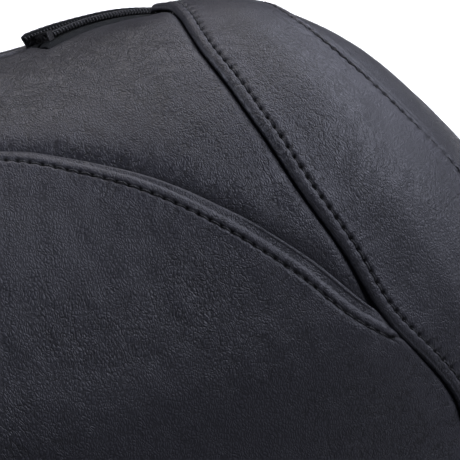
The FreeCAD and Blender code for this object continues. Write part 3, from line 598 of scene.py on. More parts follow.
def needle_holes(distance, run):
    """1 at each needle hole's middle, falling to 0 round it. A hole is longer along the seam than across."""
    along_seam = (run / STITCH_PITCH + 0.5) % 1 * STITCH_PITCH - 0.5 * STITCH_PITCH
    return np.exp(-((distance - STITCH_OFFSET) / 0.55) ** 2 - (along_seam / 0.72) ** 2)


def fold_height(distance, run, scale=1.0):
    """Height of a folded, topstitched edge, pressed in along the thread and puffed up between the holes."""
    between = -np.cos(2 * math.pi * run / STITCH_PITCH)
    unevenness = 0.7 + 0.4 * np.sin(run * 0.137 + 1.3) * np.sin(run * 0.051)
    groove = -GROOVE_DEPTH * bell(distance, STITCH_OFFSET, 0.42)
    welt = PUFF * bell(distance, 2.2, 1.0)
    beyond = PUFF * bell(distance, 5.4, 1.3)
    pits = -HOLE_DEPTH * needle_holes(distance, run)
    return smooth(FOLD, distance) * scale + groove + pits + (welt + beyond) * unevenness * between


class Seams:
    """What the leather's look needs of the nearest seam: run, distance, the needle holes and thread groove that
    get painted shade, and the folded edges that get a painted highlight.
    """

    def __init__(self, shape):
        self.run = np.zeros(shape)
        self.gap = np.full(shape, SEAM_REACH)
        self.hole = np.zeros(shape)
        self.edge_highlight = np.zeros(shape)

    def add(self, distance, run, stitched=True, highlight_strength=0.25):
        nearer = (distance >= 0) & (distance < self.gap)
        self.run = np.where(nearer, run, self.run)
        self.gap = np.where(nearer, distance, self.gap)
        if stitched:
            # the hole mark is where the leather's colour paints shade: in the needle holes and along the thread's
            # groove
            thread_groove_shade = 0.5 * bell(distance, STITCH_OFFSET, 0.32)
            self.hole = np.maximum(self.hole, np.maximum(needle_holes(distance, run), thread_groove_shade))
            # the edge mark is where the leather's colour paints a highlight along the fold's edge
            self.edge_highlight = np.maximum(self.edge_highlight, highlight_strength * bell(distance, 1.1, 0.45))
        return self


def leather_panel(name, u, t, height, node, seams=None, fine=None):
    """Closed leather piece over the skin from grids of stations, shares and heights."""
    base = SKIN.point(u, t)
    normal = SKIN.normal(u, t)
    height = height + 0.16 * waves(base, 34, 3) + 0.05 * waves(base, 9, 4)
    outer = base + normal * height[..., None]
    inner = base + normal * (height - LEATHER)[..., None]
    points, quads, triangles = closed_sheet(outer, inner, fine)
    seams = seams or Seams(u.shape)
    rest = len(points) - u.size
    # the hole and edge marks tell the leather's colour where to paint shade in needle holes and thread grooves,
    # and a highlight along folded edges
    fields = (
        ("seam_run", seams.run, 0.0), ("seam_gap", seams.gap, SEAM_REACH), ("hole", seams.hole, 0.0),
        ("edge_highlight", seams.edge_highlight, 0.0),
    )
    used = np.unique(np.concatenate([quads.ravel(), triangles.ravel()]))
    renumbered = np.full(len(points), -1)
    renumbered[used] = np.arange(len(used))
    marks = {key: np.append(values, np.full(rest, beyond))[used] for key, values, beyond in fields}
    faces = [renumbered[quads], renumbered[triangles]]
    made = make_object(name, points[used], faces, LEATHER_LOOK, marks)
    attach(made, "root")
    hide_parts(node)


# ---------------------------------------------------------------- materials
class Shader:
    """Builder for one material's node graph; its textures are laid out in mm through the object."""

    def __init__(self, name, metallic=0.0, specular=0.5, **fixed):
        self.material = bpy.data.materials.new(name)
        self.material.use_nodes = True
        self.tree = self.material.node_tree
        self.surface = self.tree.nodes["Principled BSDF"]
        self.surface.inputs["Metallic"].default_value = metallic
        self.surface.inputs["Specular IOR Level"].default_value = specular
        for key, value in fixed.items():
            self.surface.inputs[key.replace("_", " ")].default_value = value
        coordinates = self.add("TexCoord").outputs["Object"]
        self.place = self.stretched(coordinates, (1000, 1000, 1000))

    def add(self, kind, inputs=None, **settings):
        node = self.tree.nodes.new("ShaderNode" + kind)
        for key, value in settings.items():
            setattr(node, key, value)
        for key, value in (inputs or {}).items():
            if isinstance(value, bpy.types.NodeSocket):
                self.tree.links.new(value, node.inputs[key])
            else:
                node.inputs[key].default_value = value
        return node

    def stretched(self, vector, scale, turn=(0, 0, 0)):
        turned = tuple(math.radians(a) for a in turn)
        return self.add("Mapping", {"Vector": vector, "Scale": scale, "Rotation": turned}).outputs[0]

    def noise(self, scale, detail=2.0, vector=None, output="Fac", distortion=0.0):
        inputs = {"Vector": vector or self.place, "Scale": scale, "Detail": detail, "Distortion": distortion}
        return self.add("TexNoise", inputs).outputs[output]

    def bands(self, vector, scale, distortion, direction="X"):
        inputs = {"Vector": vector, "Scale": scale, "Distortion": distortion}
        return self.add("TexWave", inputs, bands_direction=direction).outputs["Fac"]

    def cracks(self, scale, vector=None):
        """Distance to the nearest border between irregular cells."""
        inputs = {"Vector": vector or self.place, "Scale": scale}
        return self.add("TexVoronoi", inputs, feature="DISTANCE_TO_EDGE").outputs["Distance"]

    def creases(self, scale, vector):
        """1 along the middle lines of a smooth noise, as long wandering creases, and 0 away from them."""
        wave = self.noise(scale, 2.0, vector)
        away = self.add("Math", {0: wave, 1: 0.5}, operation="SUBTRACT").outputs[0]
        return self.span(self.add("Math", {0: away}, operation="ABSOLUTE").outputs[0], 0.045, 0.0)

    def mark(self, name):
        """A value stored at the mesh's points, 0 where there is none."""
        return self.add("Attribute", attribute_name=name).outputs["Fac"]

    def spots(self, scale, vector=None):
        inputs = {"Vector": vector or self.place, "Scale": scale}
        return self.add("TexVoronoi", inputs, feature="F1").outputs["Distance"]

    def warped(self, amount, scale, vector=None):
        """Places moved about by a smooth noise, up to about the amount in mm."""
        drift = self.noise(scale, 2.0, vector, "Color")
        moved = self.add("VectorMath", {0: drift, 1: (0.5, 0.5, 0.5)}, operation="SUBTRACT").outputs[0]
        sized = self.add("VectorMath", {0: moved, "Scale": 2 * amount}, operation="SCALE").outputs[0]
        return self.add("VectorMath", {0: vector or self.place, 1: sized}, operation="ADD").outputs[0]

    def span(self, value, low, high, to_low=0.0, to_high=1.0):
        inputs = {"Value": value, "From Min": low, "From Max": high, "To Min": to_low, "To Max": to_high}
        return self.add("MapRange", inputs, interpolation_type="SMOOTHSTEP").outputs[0]

    def sum(self, a, b, weight=1.0):
        """a plus weight times b."""
        return self.add("Math", {0: b, 1: weight, 2: a}, operation="MULTIPLY_ADD").outputs[0]

    def product(self, a, b):
        return self.add("Math", {0: a, 1: b}, operation="MULTIPLY").outputs[0]

    def mix(self, amount, a, b):
        inputs = {0: amount, 6: a, 7: b}
        return self.add("Mix", inputs, data_type="RGBA").outputs[2]

    def finish(self, colour, roughness, height=None, depth=0.2):
        """Connect colour, roughness and a height field that is that many mm deep."""
        self.tree.links.new(colour, self.surface.inputs["Base Color"])
        self.tree.links.new(roughness, self.surface.inputs["Roughness"])
        if height is not None:
            bump = self.add("Bump", {"Height": height, "Distance": depth * MM, "Strength": 1.0})
            self.tree.links.new(bump.outputs[0], self.surface.inputs["Normal"])
        return self.material


LEATHER_DARK = (0.0185, 0.0183, 0.0236, 1)
LEATHER_LIGHT = (0.0235, 0.0228, 0.0288, 1)
# painted shade: the colour that creases and grain hollows darken to, where shade falls in them
LEATHER_CREASE_SHADE = (0.0045, 0.0045, 0.0060, 1)
# painted highlight: the colour of the light caught along folded edges
LEATHER_EDGE_HIGHLIGHT = (0.0480, 0.0475, 0.0540, 1)


def grey(value, warm=0.0):
    return (value * (1 + warm), value, value * (1 - warm), 1.0)


def leather():
    """Black automotive leather: pebbled grain, drawn creases in patches, small gathers along seams; with painted
    shade in the creases, grain hollows, needle holes and thread grooves, and a painted highlight along folded
    edges.
    """
    s = Shader("black_leather", specular=0.5)
    drift = s.warped(2.2, 0.12)
    pebble = s.span(s.cracks(1.35, s.stretched(drift, (1.0, 0.62, 0.62), (20, 0, 25))), 0.0, 0.30)
    fine = s.span(s.cracks(2.7, drift), 0.0, 0.35)
    flowing = s.stretched(s.warped(9.0, 0.03), (0.75, 0.42, 0.30), (25, 15, 35))
    crease = s.creases(0.58, flowing)
    crossing = s.stretched(s.warped(8.0, 0.035, s.place), (0.30, 0.75, 0.62), (-15, 30, -40))
    draw = s.creases(0.52, crossing)
    patches = s.span(s.noise(0.020, 2.0), 0.38, 0.62)
    turned = s.stretched(s.place, (1, 1, 1), (0, 0, 90))
    other_patches = s.span(s.noise(0.016, 2.0, turned), 0.42, 0.66)
    gap = s.mark("seam_gap")
    run = s.product(s.mark("seam_run"), 0.55)
    along_seam = s.add("CombineXYZ", {0: run, 1: s.product(gap, 0.10)}).outputs[0]
    gathers = s.span(s.noise(1.0, 2.0, along_seam, distortion=0.6), 0.30, 0.56)
    near_seam = s.product(s.span(gap, 16.0, 4.4), s.span(gap, 1.2, 2.2, 0.35, 1.0))
    height = s.sum(s.product(pebble, 0.42), fine, 0.16)
    height = s.sum(height, s.product(crease, patches), -0.50)
    height = s.sum(height, s.product(draw, other_patches), -0.45)
    height = s.sum(height, s.product(gathers, near_seam), 0.28)
    hole = s.mark("hole")
    tone = s.mix(s.noise(0.012, 2.0), LEATHER_DARK, LEATHER_LIGHT)
    # painted shade: low places of the height field, creases and grain hollows, are darkened towards the crease
    # colour
    crease_shade_mask = s.span(height, -0.10, 0.42)
    colour = s.mix(crease_shade_mask, LEATHER_CREASE_SHADE, tone)
    # painted highlight: lighter colour along the folded edges, where the light catches them
    colour = s.mix(s.product(s.mark("edge_highlight"), 0.25), colour, LEATHER_EDGE_HIGHLIGHT)
    # painted shade: near black in the needle holes and along the thread's groove, where shade falls
    colour = s.mix(s.span(hole, 0.08, 0.50), colour, (0.0006, 0.0006, 0.0008, 1))
    worn = s.span(s.noise(0.02, 3.0), 0.3, 0.7, 0.50, 0.42)
    rough = s.sum(s.sum(worn, crease_shade_mask, -0.03), hole, 0.4)
    return s.finish(colour, rough, height, 0.15)


def thread_material():
    """Bonded polyester thread, twisted from three plies."""
    s = Shader("black_thread", specular=0.4)
    ply = s.bands(s.stretched(s.place, (1, 1, 1), (35, 20, 50)), 0.55, 1.5)
    fuzz = s.noise(4.0, 3.0)
    colour = s.mix(s.sum(s.product(ply, 0.6), fuzz, 0.4), grey(0.008), grey(0.028))
    return s.finish(colour, s.span(fuzz, 0.2, 0.8, 0.5, 0.7), s.sum(ply, fuzz, 0.3), 0.12)


def tape_material():
    """Woven polyester zip tape with a herringbone rib, black, and darkened further as painted shade for the front
    tape in the shadow between coil and leather.
    """
    s = Shader("zip_tape_weave", specular=0.15)
    warp = s.bands(s.place, 0.55, 0.4)
    weft = s.bands(s.stretched(s.place, (1, 1, 1), (0, 0, 40)), 0.8, 0.3, "Y")
    weave = s.sum(s.product(warp, 0.5), weft, 0.5)
    # painted shade: the black tape is set darker than its own colour, so that the front tape reads as the shadow
    # between coil and leather
    colour = s.mix(weave, (0.004, 0.005, 0.005, 1), (0.015, 0.017, 0.017, 1))
    return s.finish(colour, s.span(s.noise(0.8), 0.3, 0.7, 0.6, 0.8), weave, 0.16)


def coil_material():
    s = Shader("nylon_coil", specular=0.5)
    colour = s.mix(s.noise(0.6, 3.0), grey(0.006), grey(0.016))
    return s.finish(colour, s.span(s.noise(1.4), 0.3, 0.7, 0.26, 0.42), s.noise(3.0), 0.02)


def plastic(name, low, high):
    """Moulded plastic with a spark-eroded texture and flow marks."""
    s = Shader(name, specular=0.5)
    grit = s.spots(1.1)
    flow = s.noise(0.02, 3.0, s.stretched(s.place, (1, 0.2, 1)))
    colour = s.mix(s.sum(s.product(flow, 0.7), grit, 0.3), low, high)
    rough = s.span(flow, 0.3, 0.7, 0.48, 0.62)
    return s.finish(colour, rough, s.sum(s.product(grit, 0.7), s.noise(2.2, 3.0), 0.4), 0.04)


def rubber():
    s = Shader("moulded_rubber", specular=0.35)
    bloom = s.span(s.noise(0.09, 4.0), 0.42, 0.72)
    colour = s.mix(bloom, grey(0.020), grey(0.045, 0.05))
    rough = s.span(bloom, 0, 1, 0.68, 0.86)
    return s.finish(colour, rough, s.sum(s.noise(1.6, 4.0), s.spots(0.9), 0.4), 0.06)


def powder_coat():
    """Satin black powder coat with orange peel, dust and small chips."""
    s = Shader("powder_coated_steel", specular=0.5)
    peel = s.spots(0.55, s.warped(1.2, 0.4))
    chips = s.span(s.noise(0.35, 5.0), 0.70, 0.735)
    dust = s.span(s.noise(0.05, 3.0), 0.4, 0.75)
    painted = s.mix(dust, grey(0.018), grey(0.040, 0.04))
    colour = s.mix(chips, painted, grey(0.22))
    height = s.sum(peel, chips, -0.8)
    return s.finish(colour, s.span(dust, 0, 1, 0.34, 0.55), height, 0.07)


def metal(name, low, high, rough_low, rough_high, brushed=6.0):
    """Plated metal with fine drawn lines, stains and handling scratches."""
    s = Shader(name, metallic=1.0)
    lines = s.noise(0.8, 3.0, s.stretched(s.place, (1, brushed, brushed)))
    stain = s.span(s.noise(0.11, 4.0), 0.35, 0.70)
    scratch = s.span(s.cracks(0.16, s.stretched(s.warped(3, 0.2), (1, 0.25, 1), (20, 0, 40))), 0.0, 0.03)
    colour = s.mix(stain, high, low)
    rough = s.sum(s.span(lines, 0.3, 0.7, rough_low, rough_high), scratch, -0.08)
    return s.finish(colour, rough, s.sum(s.product(lines, 0.5), scratch, 0.5), 0.03)


def foam_look():
    """Open-celled moulded foam with a skin."""
    s = Shader("moulded_foam", specular=0.2)
    pores = s.span(s.cracks(0.9), 0.0, 0.25)
    colour = s.mix(s.product(pores, s.noise(0.03, 3.0)), (0.07, 0.07, 0.075, 1), (0.19, 0.19, 0.20, 1))
    return s.finish(colour, s.span(pores, 0, 1, 0.95, 0.80), pores, 0.35)


def gel_look():
    s = Shader("gel", specular=0.5, Transmission_Weight=0.2)
    colour = s.mix(s.noise(0.05, 3.0), (0.02, 0.10, 0.30, 1), (0.04, 0.17, 0.42, 1))
    return s.finish(colour, s.span(s.noise(0.3), 0.3, 0.7, 0.2, 0.35), s.noise(0.2), 0.2)


LEATHER_LOOK = leather()
THREAD_LOOK = thread_material()
TAPE_LOOK = tape_material()
COIL_LOOK = coil_material()
SLOT_LOOKS = {
    "leather": LEATHER_LOOK,
    "thread": THREAD_LOOK,
    "foam": foam_look(),
    "gel": gel_look(),
    "pan_plastic": plastic("pan_plastic", grey(0.016), grey(0.028)),
    "coated_steel": powder_coat(),
    "steel": metal("zinc_plated_steel", grey(0.36, 0.06), grey(0.62, 0.02), 0.28, 0.46),
    "rubber": rubber(),
    "zip_tape": TAPE_LOOK,
    "zip_teeth": COIL_LOOK,
    "zip_metal": metal("black_nickel", grey(0.02, 0.03), grey(0.05, 0.02), 0.30, 0.46),
}


def dress_nodes():
    """Give every CAD node's object the look of its slot in the record."""
    for node in frame["record"]["subparts"]:
        target = frame["nodes"][node["node"]]
        look = SLOT_LOOKS[node["material_slot"]]
        if not target.material_slots:
            target.data.materials.append(look)
        for place in target.material_slots:
            place.material = look


# ---------------------------------------------------------------- the seams' lines
def arch_place(share):
    u = arch_station(share)
    return u, share * inner_seam(u)


along = np.linspace(NOSE_SEAM, 10.95, 2400)
INNER_LINES = {side: SeamLine(along, side * inner_seam(along)) for side in (1, -1)}
OUTER_LINES = {side: SeamLine(along, side * outer_seam(along)) for side in (1, -1)}
ARCH_LINE = SeamLine(*arch_place(np.linspace(-1.04, 1.04, 1600)))
ARCH_SHARES = ARCH_LINE.t / inner_seam(ARCH_LINE.u)
ARCH_ENDS = np.interp([-1, 1], ARCH_SHARES, ARCH_LINE.run)


def lengthways(rows, first, last):
    """Stations for rows between two edges given per column."""
    return first[None, :] + (last - first)[None, :] * rows[:, None]


def edge_distance(u, t, edge_u):
    """Distance in mm from places to a panel's edge at given stations, measured along the seat."""
    return np.abs(edge_u - u) / per_mm(u, t)


def span_mm(share, u):
    """Distance in mm along a rib for a difference of shares."""
    return share * SKIN.length(u)


def crest_distance(u, t, side):
    return np.abs(zip_side(u, t) - side)


# ---------------------------------------------------------------- the cover's panels
def stitch_samples(length):
    """Number of even steps along a seam, a multiple of three and near the wanted number for each stitch."""
    return 3 * int(round(length * SAMPLES_PER_STITCH / STITCH_PITCH / 3))


def main_panel():
    """Seat panel from the nose over the dish and up the bolster, folded and topstitched along the arch."""
    first_run, last_run = ARCH_ENDS
    runs = np.linspace(first_run, last_run, stitch_samples(last_run - first_run) + 1)
    shares = np.interp(runs, ARCH_LINE.run, ARCH_SHARES)
    depth = 425
    columns = graded(depth, 2.7, 0.4, 10.5, at_start=False)
    last = arch_station(shares)
    last = last - FOLD_INSET * per_mm(last, shares * inner_seam(last))
    first = NOSE_SEAM + NOSE_GAP
    u = first + (last[:, None] - first) * columns[None, :]
    t = shares[:, None] * (inner_seam(u) + UNDERLAP / SKIN.length(u))
    base = SKIN.point(u, t)
    arch, run = ARCH_LINE.near(base)
    beside = span_mm(inner_seam(u) - np.abs(t), u)
    shown = ramp(-2.4, -0.6, beside)
    height = fold_height(arch, run, ARCH_FOLD) * shown
    height = height + smooth(UNDER, beside) + smooth(BUTT, edge_distance(u, t, NOSE_SEAM))
    # the arch's fold gets a painted highlight along its edge four times as strong as the bands' folds
    seams = Seams(u.shape).add(np.where(shown > 0, arch, SEAM_REACH), run, highlight_strength=1.0)
    left, left_run = INNER_LINES[1].near(base)
    right, right_run = INNER_LINES[-1].near(base)
    seams.add(left, left_run, False).add(right, right_run, False)
    fine = ((1 - columns) * depth < 11.5) | (columns == 0)
    leather_panel("main_panel", u, t, height, "cover_main_panel", seams, fine)


def bolster_cap():
    """Panel over the bolster's crest, under the arch's fold and both bands, hemmed along the zips."""
    shares = np.linspace(-1, 1, 281)
    first = arch_station(shares)
    first_t = shares * inner_seam(first)
    first = first - UNDERLAP * per_mm(first, first_t)
    last_t = shares * (inner_seam(ZIP_END_STATION) + 0.01)
    rib = SKIN.length(ZIP_END_STATION)
    between_zips = ramp(INNER_T + 0.7 / rib, INNER_T - 4.0 / rib, np.abs(last_t))
    last = crest_edge(last_t, -ZIP_EDGE) * (1 - between_zips)
    last = last + crest_edge(last_t, BRIDGE_EDGE) * between_zips
    rows = graded(135, 1.5, 0.6, 9.0)
    u = lengthways(rows, first, last)
    t = shares[None, :] * (inner_seam(u) + UNDERLAP / SKIN.length(u))
    base = SKIN.point(u, t)
    arch, run = ARCH_LINE.near(base)
    beyond = u < arch_station(np.clip(t / inner_seam(u), -1, 1))
    arch = np.where(beyond, -arch, arch)
    beside = span_mm(inner_seam(u) - np.abs(t), u)
    crest = edge_distance(u, t, last[None, :])
    height = smooth(UNDER_ARCH, arch) + smooth(UNDER, beside) + smooth(HEMMED, crest)
    height = height + crest_dip(u, t, crest)
    ruck = 0.12 * waves(base * (1, 0.35, 0.35), 11, 21) * ramp(26, 4, arch)
    seams = Seams(u.shape).add(np.abs(arch), run, False)
    for line in INNER_LINES.values():
        seams.add(*line.near(base), False)
    leather_panel("bolster_cap", u, t, np.maximum(height + ruck, -2.6), "cover_bolster_cap", seams)


def crest_dip(u, t, crest):
    """How far the foam lets the leather sink in front of a zip, by the place along the zip."""
    angle = ZIP.measure(SKIN.point(u, np.abs(t)))[1]
    share = (angle - ZIP.from_angle) / (ZIP.to_angle - ZIP.from_angle)
    return -smooth(CREST_DIP, share) * ramp(26, 4, crest)


def band(side, name):
    """Padded band beside the seat and over the crest, with both of its edges folded and topstitched."""
    across = graded(88, 3.2, 0.4, 6.0)
    inner, outer = INNER_LINES[side], OUTER_LINES[side]

    def share_at(u, f):
        low = inner_seam(u) + FOLD_INSET / SKIN.length(u)
        high = outer_seam(u) - FOLD_INSET / SKIN.length(u)
        return low + (high - low) * f

    last = crest_edge(share_at(np.full_like(across, 10.3), across), -ZIP_EDGE)
    steps = 0
    edges = []
    for line, end in ((inner, last[0]), (outer, last[-1])):
        end_run = np.interp(end, line.u, line.run)
        steps = steps or stitch_samples(end_run)
        edges.append(np.interp(np.linspace(0, end_run, steps + 1), line.run, line.u))
    first = NOSE_SEAM + NOSE_GAP
    u = edges[0][:, None] * (1 - across) + edges[1][:, None] * across
    u = first + (u - first) * ((last - first) / (u[-1] - first))[None, :]
    t = side * share_at(u, across[None, :])
    base = SKIN.point(u, t)
    inner_gap, inner_run = inner.near(base)
    outer_gap, outer_run = outer.near(base)
    crown = ramp(3, 26, inner_gap) * ramp(3, 26, outer_gap) * BAND_CROWN
    height = fold_height(inner_gap, inner_run) + fold_height(outer_gap, outer_run) + BAND_RISE + crown
    crest = crest_distance(u, np.abs(t), -ZIP_EDGE)
    nose = edge_distance(u, t, NOSE_SEAM)
    height = height * ramp(-6, 10, nose) + smooth(BUTT, nose) + smooth(HEMMED, crest)
    height = height - crown * ramp(16, 2, crest) * 0.7
    seams = Seams(u.shape).add(inner_gap, inner_run).add(outer_gap, outer_run)
    width = span_mm(outer_seam(u) - inner_seam(u), u).min(0)
    fine = (across * width < 6.2) | ((1 - across) * width < 6.2)
    leather_panel("band_" + name, u, t, height, "cover_band_" + name, seams, fine)


def rear_panel():
    """Back of the bolster, from the zips down to the pan."""
    shares = np.linspace(-1, 1, 181)
    first = crest_edge(shares * outer_seam(10.6), ZIP_REAR_EDGE)
    rows = graded(215, 1.7, 0.7, 8.0, at_end=False)
    u = lengthways(rows, first, np.full_like(first, LAST - 0.01))
    t = shares[None, :] * outer_seam(u)
    beside = span_mm(outer_seam(u) - np.abs(t), u)
    crest = crest_distance(u, np.abs(t), ZIP_REAR_EDGE)
    bottom = edge_distance(u, t, LAST)
    height = smooth(BUTT, beside) + smooth(HEMMED, crest) + smooth(TUCK, bottom)
    leather_panel("rear_panel", u, t, height, "cover_rear_panel")


def crest_bridge():
    """Short strip that joins the bolster cap to the rear panel between the zips."""
    end = INNER_T - 1.2 / SKIN.length(ZIP_END_STATION)
    t_line = np.linspace(-end, end, 111)
    low = crest_edge(t_line, BRIDGE_EDGE + 0.25)
    high = crest_edge(t_line, ZIP_REAR_EDGE - 0.25)
    u = lengthways(np.linspace(0, 1, 9), low, high)
    t = np.broadcast_to(t_line, u.shape).copy()
    away = np.minimum(np.abs(u - low), np.abs(u - high)) / per_mm(u, t)
    ends = span_mm(end - np.abs(t), u)
    height = smooth(BUTT, away) + smooth(HEMMED, ends)
    leather_panel("crest_bridge", u, t, height, "cover_crest_bridge")


def nose():
    """Front panel below the nose seam."""
    shares = np.linspace(-1, 1, 151)
    last = np.full_like(shares, NOSE_SEAM - NOSE_GAP)
    u = lengthways(np.linspace(0, 1, 27), np.full_like(shares, 0.01), last)
    t = shares[None, :] * outer_seam(u)
    beside = span_mm(outer_seam(u) - np.abs(t), u)
    height = smooth(BUTT, beside) + smooth(BUTT, edge_distance(u, t, NOSE_SEAM))
    height = height + smooth(TUCK, edge_distance(u, t, 0))
    leather_panel("nose", u, t, height, "cover_nose")


def skirt(side, name):
    """Side panel from the band's fold down to the pan's edge, gathered a little where it is pulled under."""
    rows = np.linspace(0, 1, 520)
    across = graded(150, 2.0, 0.7, 8.0)
    u = np.broadcast_to((0.01 + (LAST - 0.02) * rows)[:, None], (len(rows), len(across))).copy()
    under_band = ramp(NOSE_SEAM - 0.05, NOSE_SEAM + 0.1, u) * ramp(10.75, 10.55, u)
    top = outer_seam(u) - under_band * UNDERLAP / SKIN.length(u)
    t = top + (1 - top) * across[None, :]
    base = SKIN.point(u, side * t)
    beside = span_mm(t - outer_seam(u), u)
    bottom = span_mm(1 - t, u)
    gathers = 0.45 * waves(base * (0, 1, 0.06) + 5.0, 15, 31 + side, 7) * ramp(34, 3, bottom)
    height = smooth(UNDER, beside) * under_band + smooth(BUTT, np.abs(beside)) * (1 - under_band)
    height = height + smooth(TUCK, bottom) + gathers
    leather_panel("skirt_" + name, u, side * t, height, "cover_skirt_" + name)


# ---------------------------------------------------------------- the hem under the pan
def rim_loop_places():
    """The skin's rim in plan, as an even closed line, with its outward directions."""
    nose_t = np.linspace(-1, 1, 120)[:-1]
    side_u = np.linspace(0, LAST, 900)[:-1]
    line = np.concatenate([
        SKIN.point(np.zeros_like(nose_t), nose_t),
        SKIN.point(side_u, np.ones_like(side_u)),
        SKIN.point(np.full_like(nose_t, LAST), -nose_t),
        SKIN.point(side_u[::-1], -np.ones_like(side_u)),
    ])[:, :2]
    step = np.linalg.norm(np.roll(line, -1, 0) - line, axis=1)
    line = line[step > 1e-6]
    step = step[step > 1e-6]
    run = np.concatenate([[0], np.cumsum(step)])
    closed = np.vstack([line, line[:1]])
    even = np.linspace(0, run[-1], int(run[-1] / 1.6) + 1)[:-1]
    places = np.stack([np.interp(even, run, closed[:, k]) for k in range(2)], -1)
    for _ in range(6):
        places = 0.5 * places + 0.25 * (np.roll(places, 1, 0) + np.roll(places, -1, 0))
    ahead = unit(np.roll(places, -1, 0) - np.roll(places, 1, 0))
    outwards = np.stack([ahead[:, 1], -ahead[:, 0]], -1)
    return places, outwards, even


def hem():
    """The cover's edge, turned round the pan, pleated and stapled flat beneath it."""
    places, outwards, run = rim_loop_places()
    low, high = (np.array(c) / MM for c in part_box("cover_hem"))
    top = high[2] + 0.2
    bottom = low[2]
    round_radius = 4.0
    tab = np.abs(places[:, 0]) < 0.5 * BRACKET_WIDTH + 4
    at_end = tab & (np.abs(places[:, 1]) > 0.8 * np.abs(places[:, 1]).max())
    clear = np.convolve(np.tile(at_end, 3).astype(float), np.ones(7) / 7, "same")[len(run):2 * len(run)]
    width = HEM_WIDTH - (HEM_WIDTH - 5.0) * clear
    width = width + 1.3 * np.sin(run * 0.061) * (1 - clear)
    pleats = waves(np.stack([run, 0 * run, 0 * run], -1), 13, 51, 7)
    steps = []
    for f in np.linspace(0, 1, 8):
        steps.append((np.zeros_like(run), top + (bottom + round_radius - top) * f + 0 * run))
    for a in np.linspace(0, 0.5 * math.pi, 7)[1:]:
        height = bottom + round_radius * (1 - math.sin(a))
        steps.append((round_radius * (math.cos(a) - 1) + 0 * run, height + 0 * run))
    for f in np.linspace(0, 1, 15)[1:]:
        steps.append((-round_radius - (width - round_radius) * f, bottom + 0 * run))
    rows = len(steps)
    outer = np.empty((rows, len(run), 3))
    inner = np.empty_like(outer)
    for k, (out, z) in enumerate(steps):
        before = steps[max(k - 1, 0)]
        after = steps[min(k + 1, rows - 1)]
        d_out = after[0] - before[0]
        d_z = after[1] - before[1]
        size = np.hypot(d_out, d_z)
        normal_out = -d_z / size
        normal_z = d_out / size
        share = k / (rows - 1)
        lift = 0.35 * pleats * ramp(0.15, 0.6, share) * ramp(1.0, 0.9, share)
        for target, depth in ((outer, lift), (inner, lift - HEM_THICKNESS)):
            target[k, :, :2] = places + outwards * (out + normal_out * depth)[:, None]
            target[k, :, 2] = np.maximum(z + normal_z * depth, bottom - 0.5)
    points = np.concatenate([outer.reshape(-1, 3), inner.reshape(-1, 3)])
    count = len(run)
    faces = []
    ring = np.arange(count)
    ahead = (ring + 1) % count
    half = rows * count
    for k in range(rows - 1):
        a, b = k * count, (k + 1) * count
        faces.append(np.stack([a + ring, b + ring, b + ahead, a + ahead], -1))
        faces.append(np.stack([half + a + ring, half + a + ahead, half + b + ahead, half + b + ring], -1))
    faces.append(np.stack([ring, ahead, half + ahead, half + ring], -1))
    last = (rows - 1) * count
    faces.append(np.stack([last + ahead, last + ring, half + last + ring, half + last + ahead], -1))
    faces = np.concatenate(faces)
    made = make_object("hem", points, [outward(points, faces)], LEATHER_LOOK)
    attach(made, "root")
    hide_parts("cover_hem")


def outward(points, faces):
    """The faces, turned so that their normals point out of the closed form."""
    a, b, c, d = (points[faces[:, k]] for k in range(4))
    volume = np.sum(np.cross(a, b) * c) + np.sum(np.cross(a, c) * d)
    return faces if volume > 0 else faces[:, ::-1]


# ---------------------------------------------------------------- the foam and the gel inside
def gel_region(u, t):
    """1 where the gel lies, 0 outside it."""
    low, high = GEL_STATIONS
    along_seat = ramp(low - 0.12, low, u) * ramp(high + 0.12, high, u)
    return along_seat * ramp(GEL_HALF_SPAN + 0.03, GEL_HALF_SPAN, np.abs(t))


def filled_outline(grid):
    """Points spread evenly between the four edges of a grid of points, so that they stay within its rim."""
    r = np.linspace(0, 1, grid.shape[0])[:, None, None]
    s = np.linspace(0, 1, grid.shape[1])[None, :, None]
    between_sides = (1 - s) * grid[:, :1] + s * grid[:, -1:]
    between_ends = (1 - r) * grid[:1] + r * grid[-1:]
    first_corners = (1 - s) * grid[0, 0] + s * grid[0, -1]
    last_corners = (1 - s) * grid[-1, 0] + s * grid[-1, -1]
    corners = (1 - r) * first_corners + r * last_corners
    return between_sides + between_ends - corners


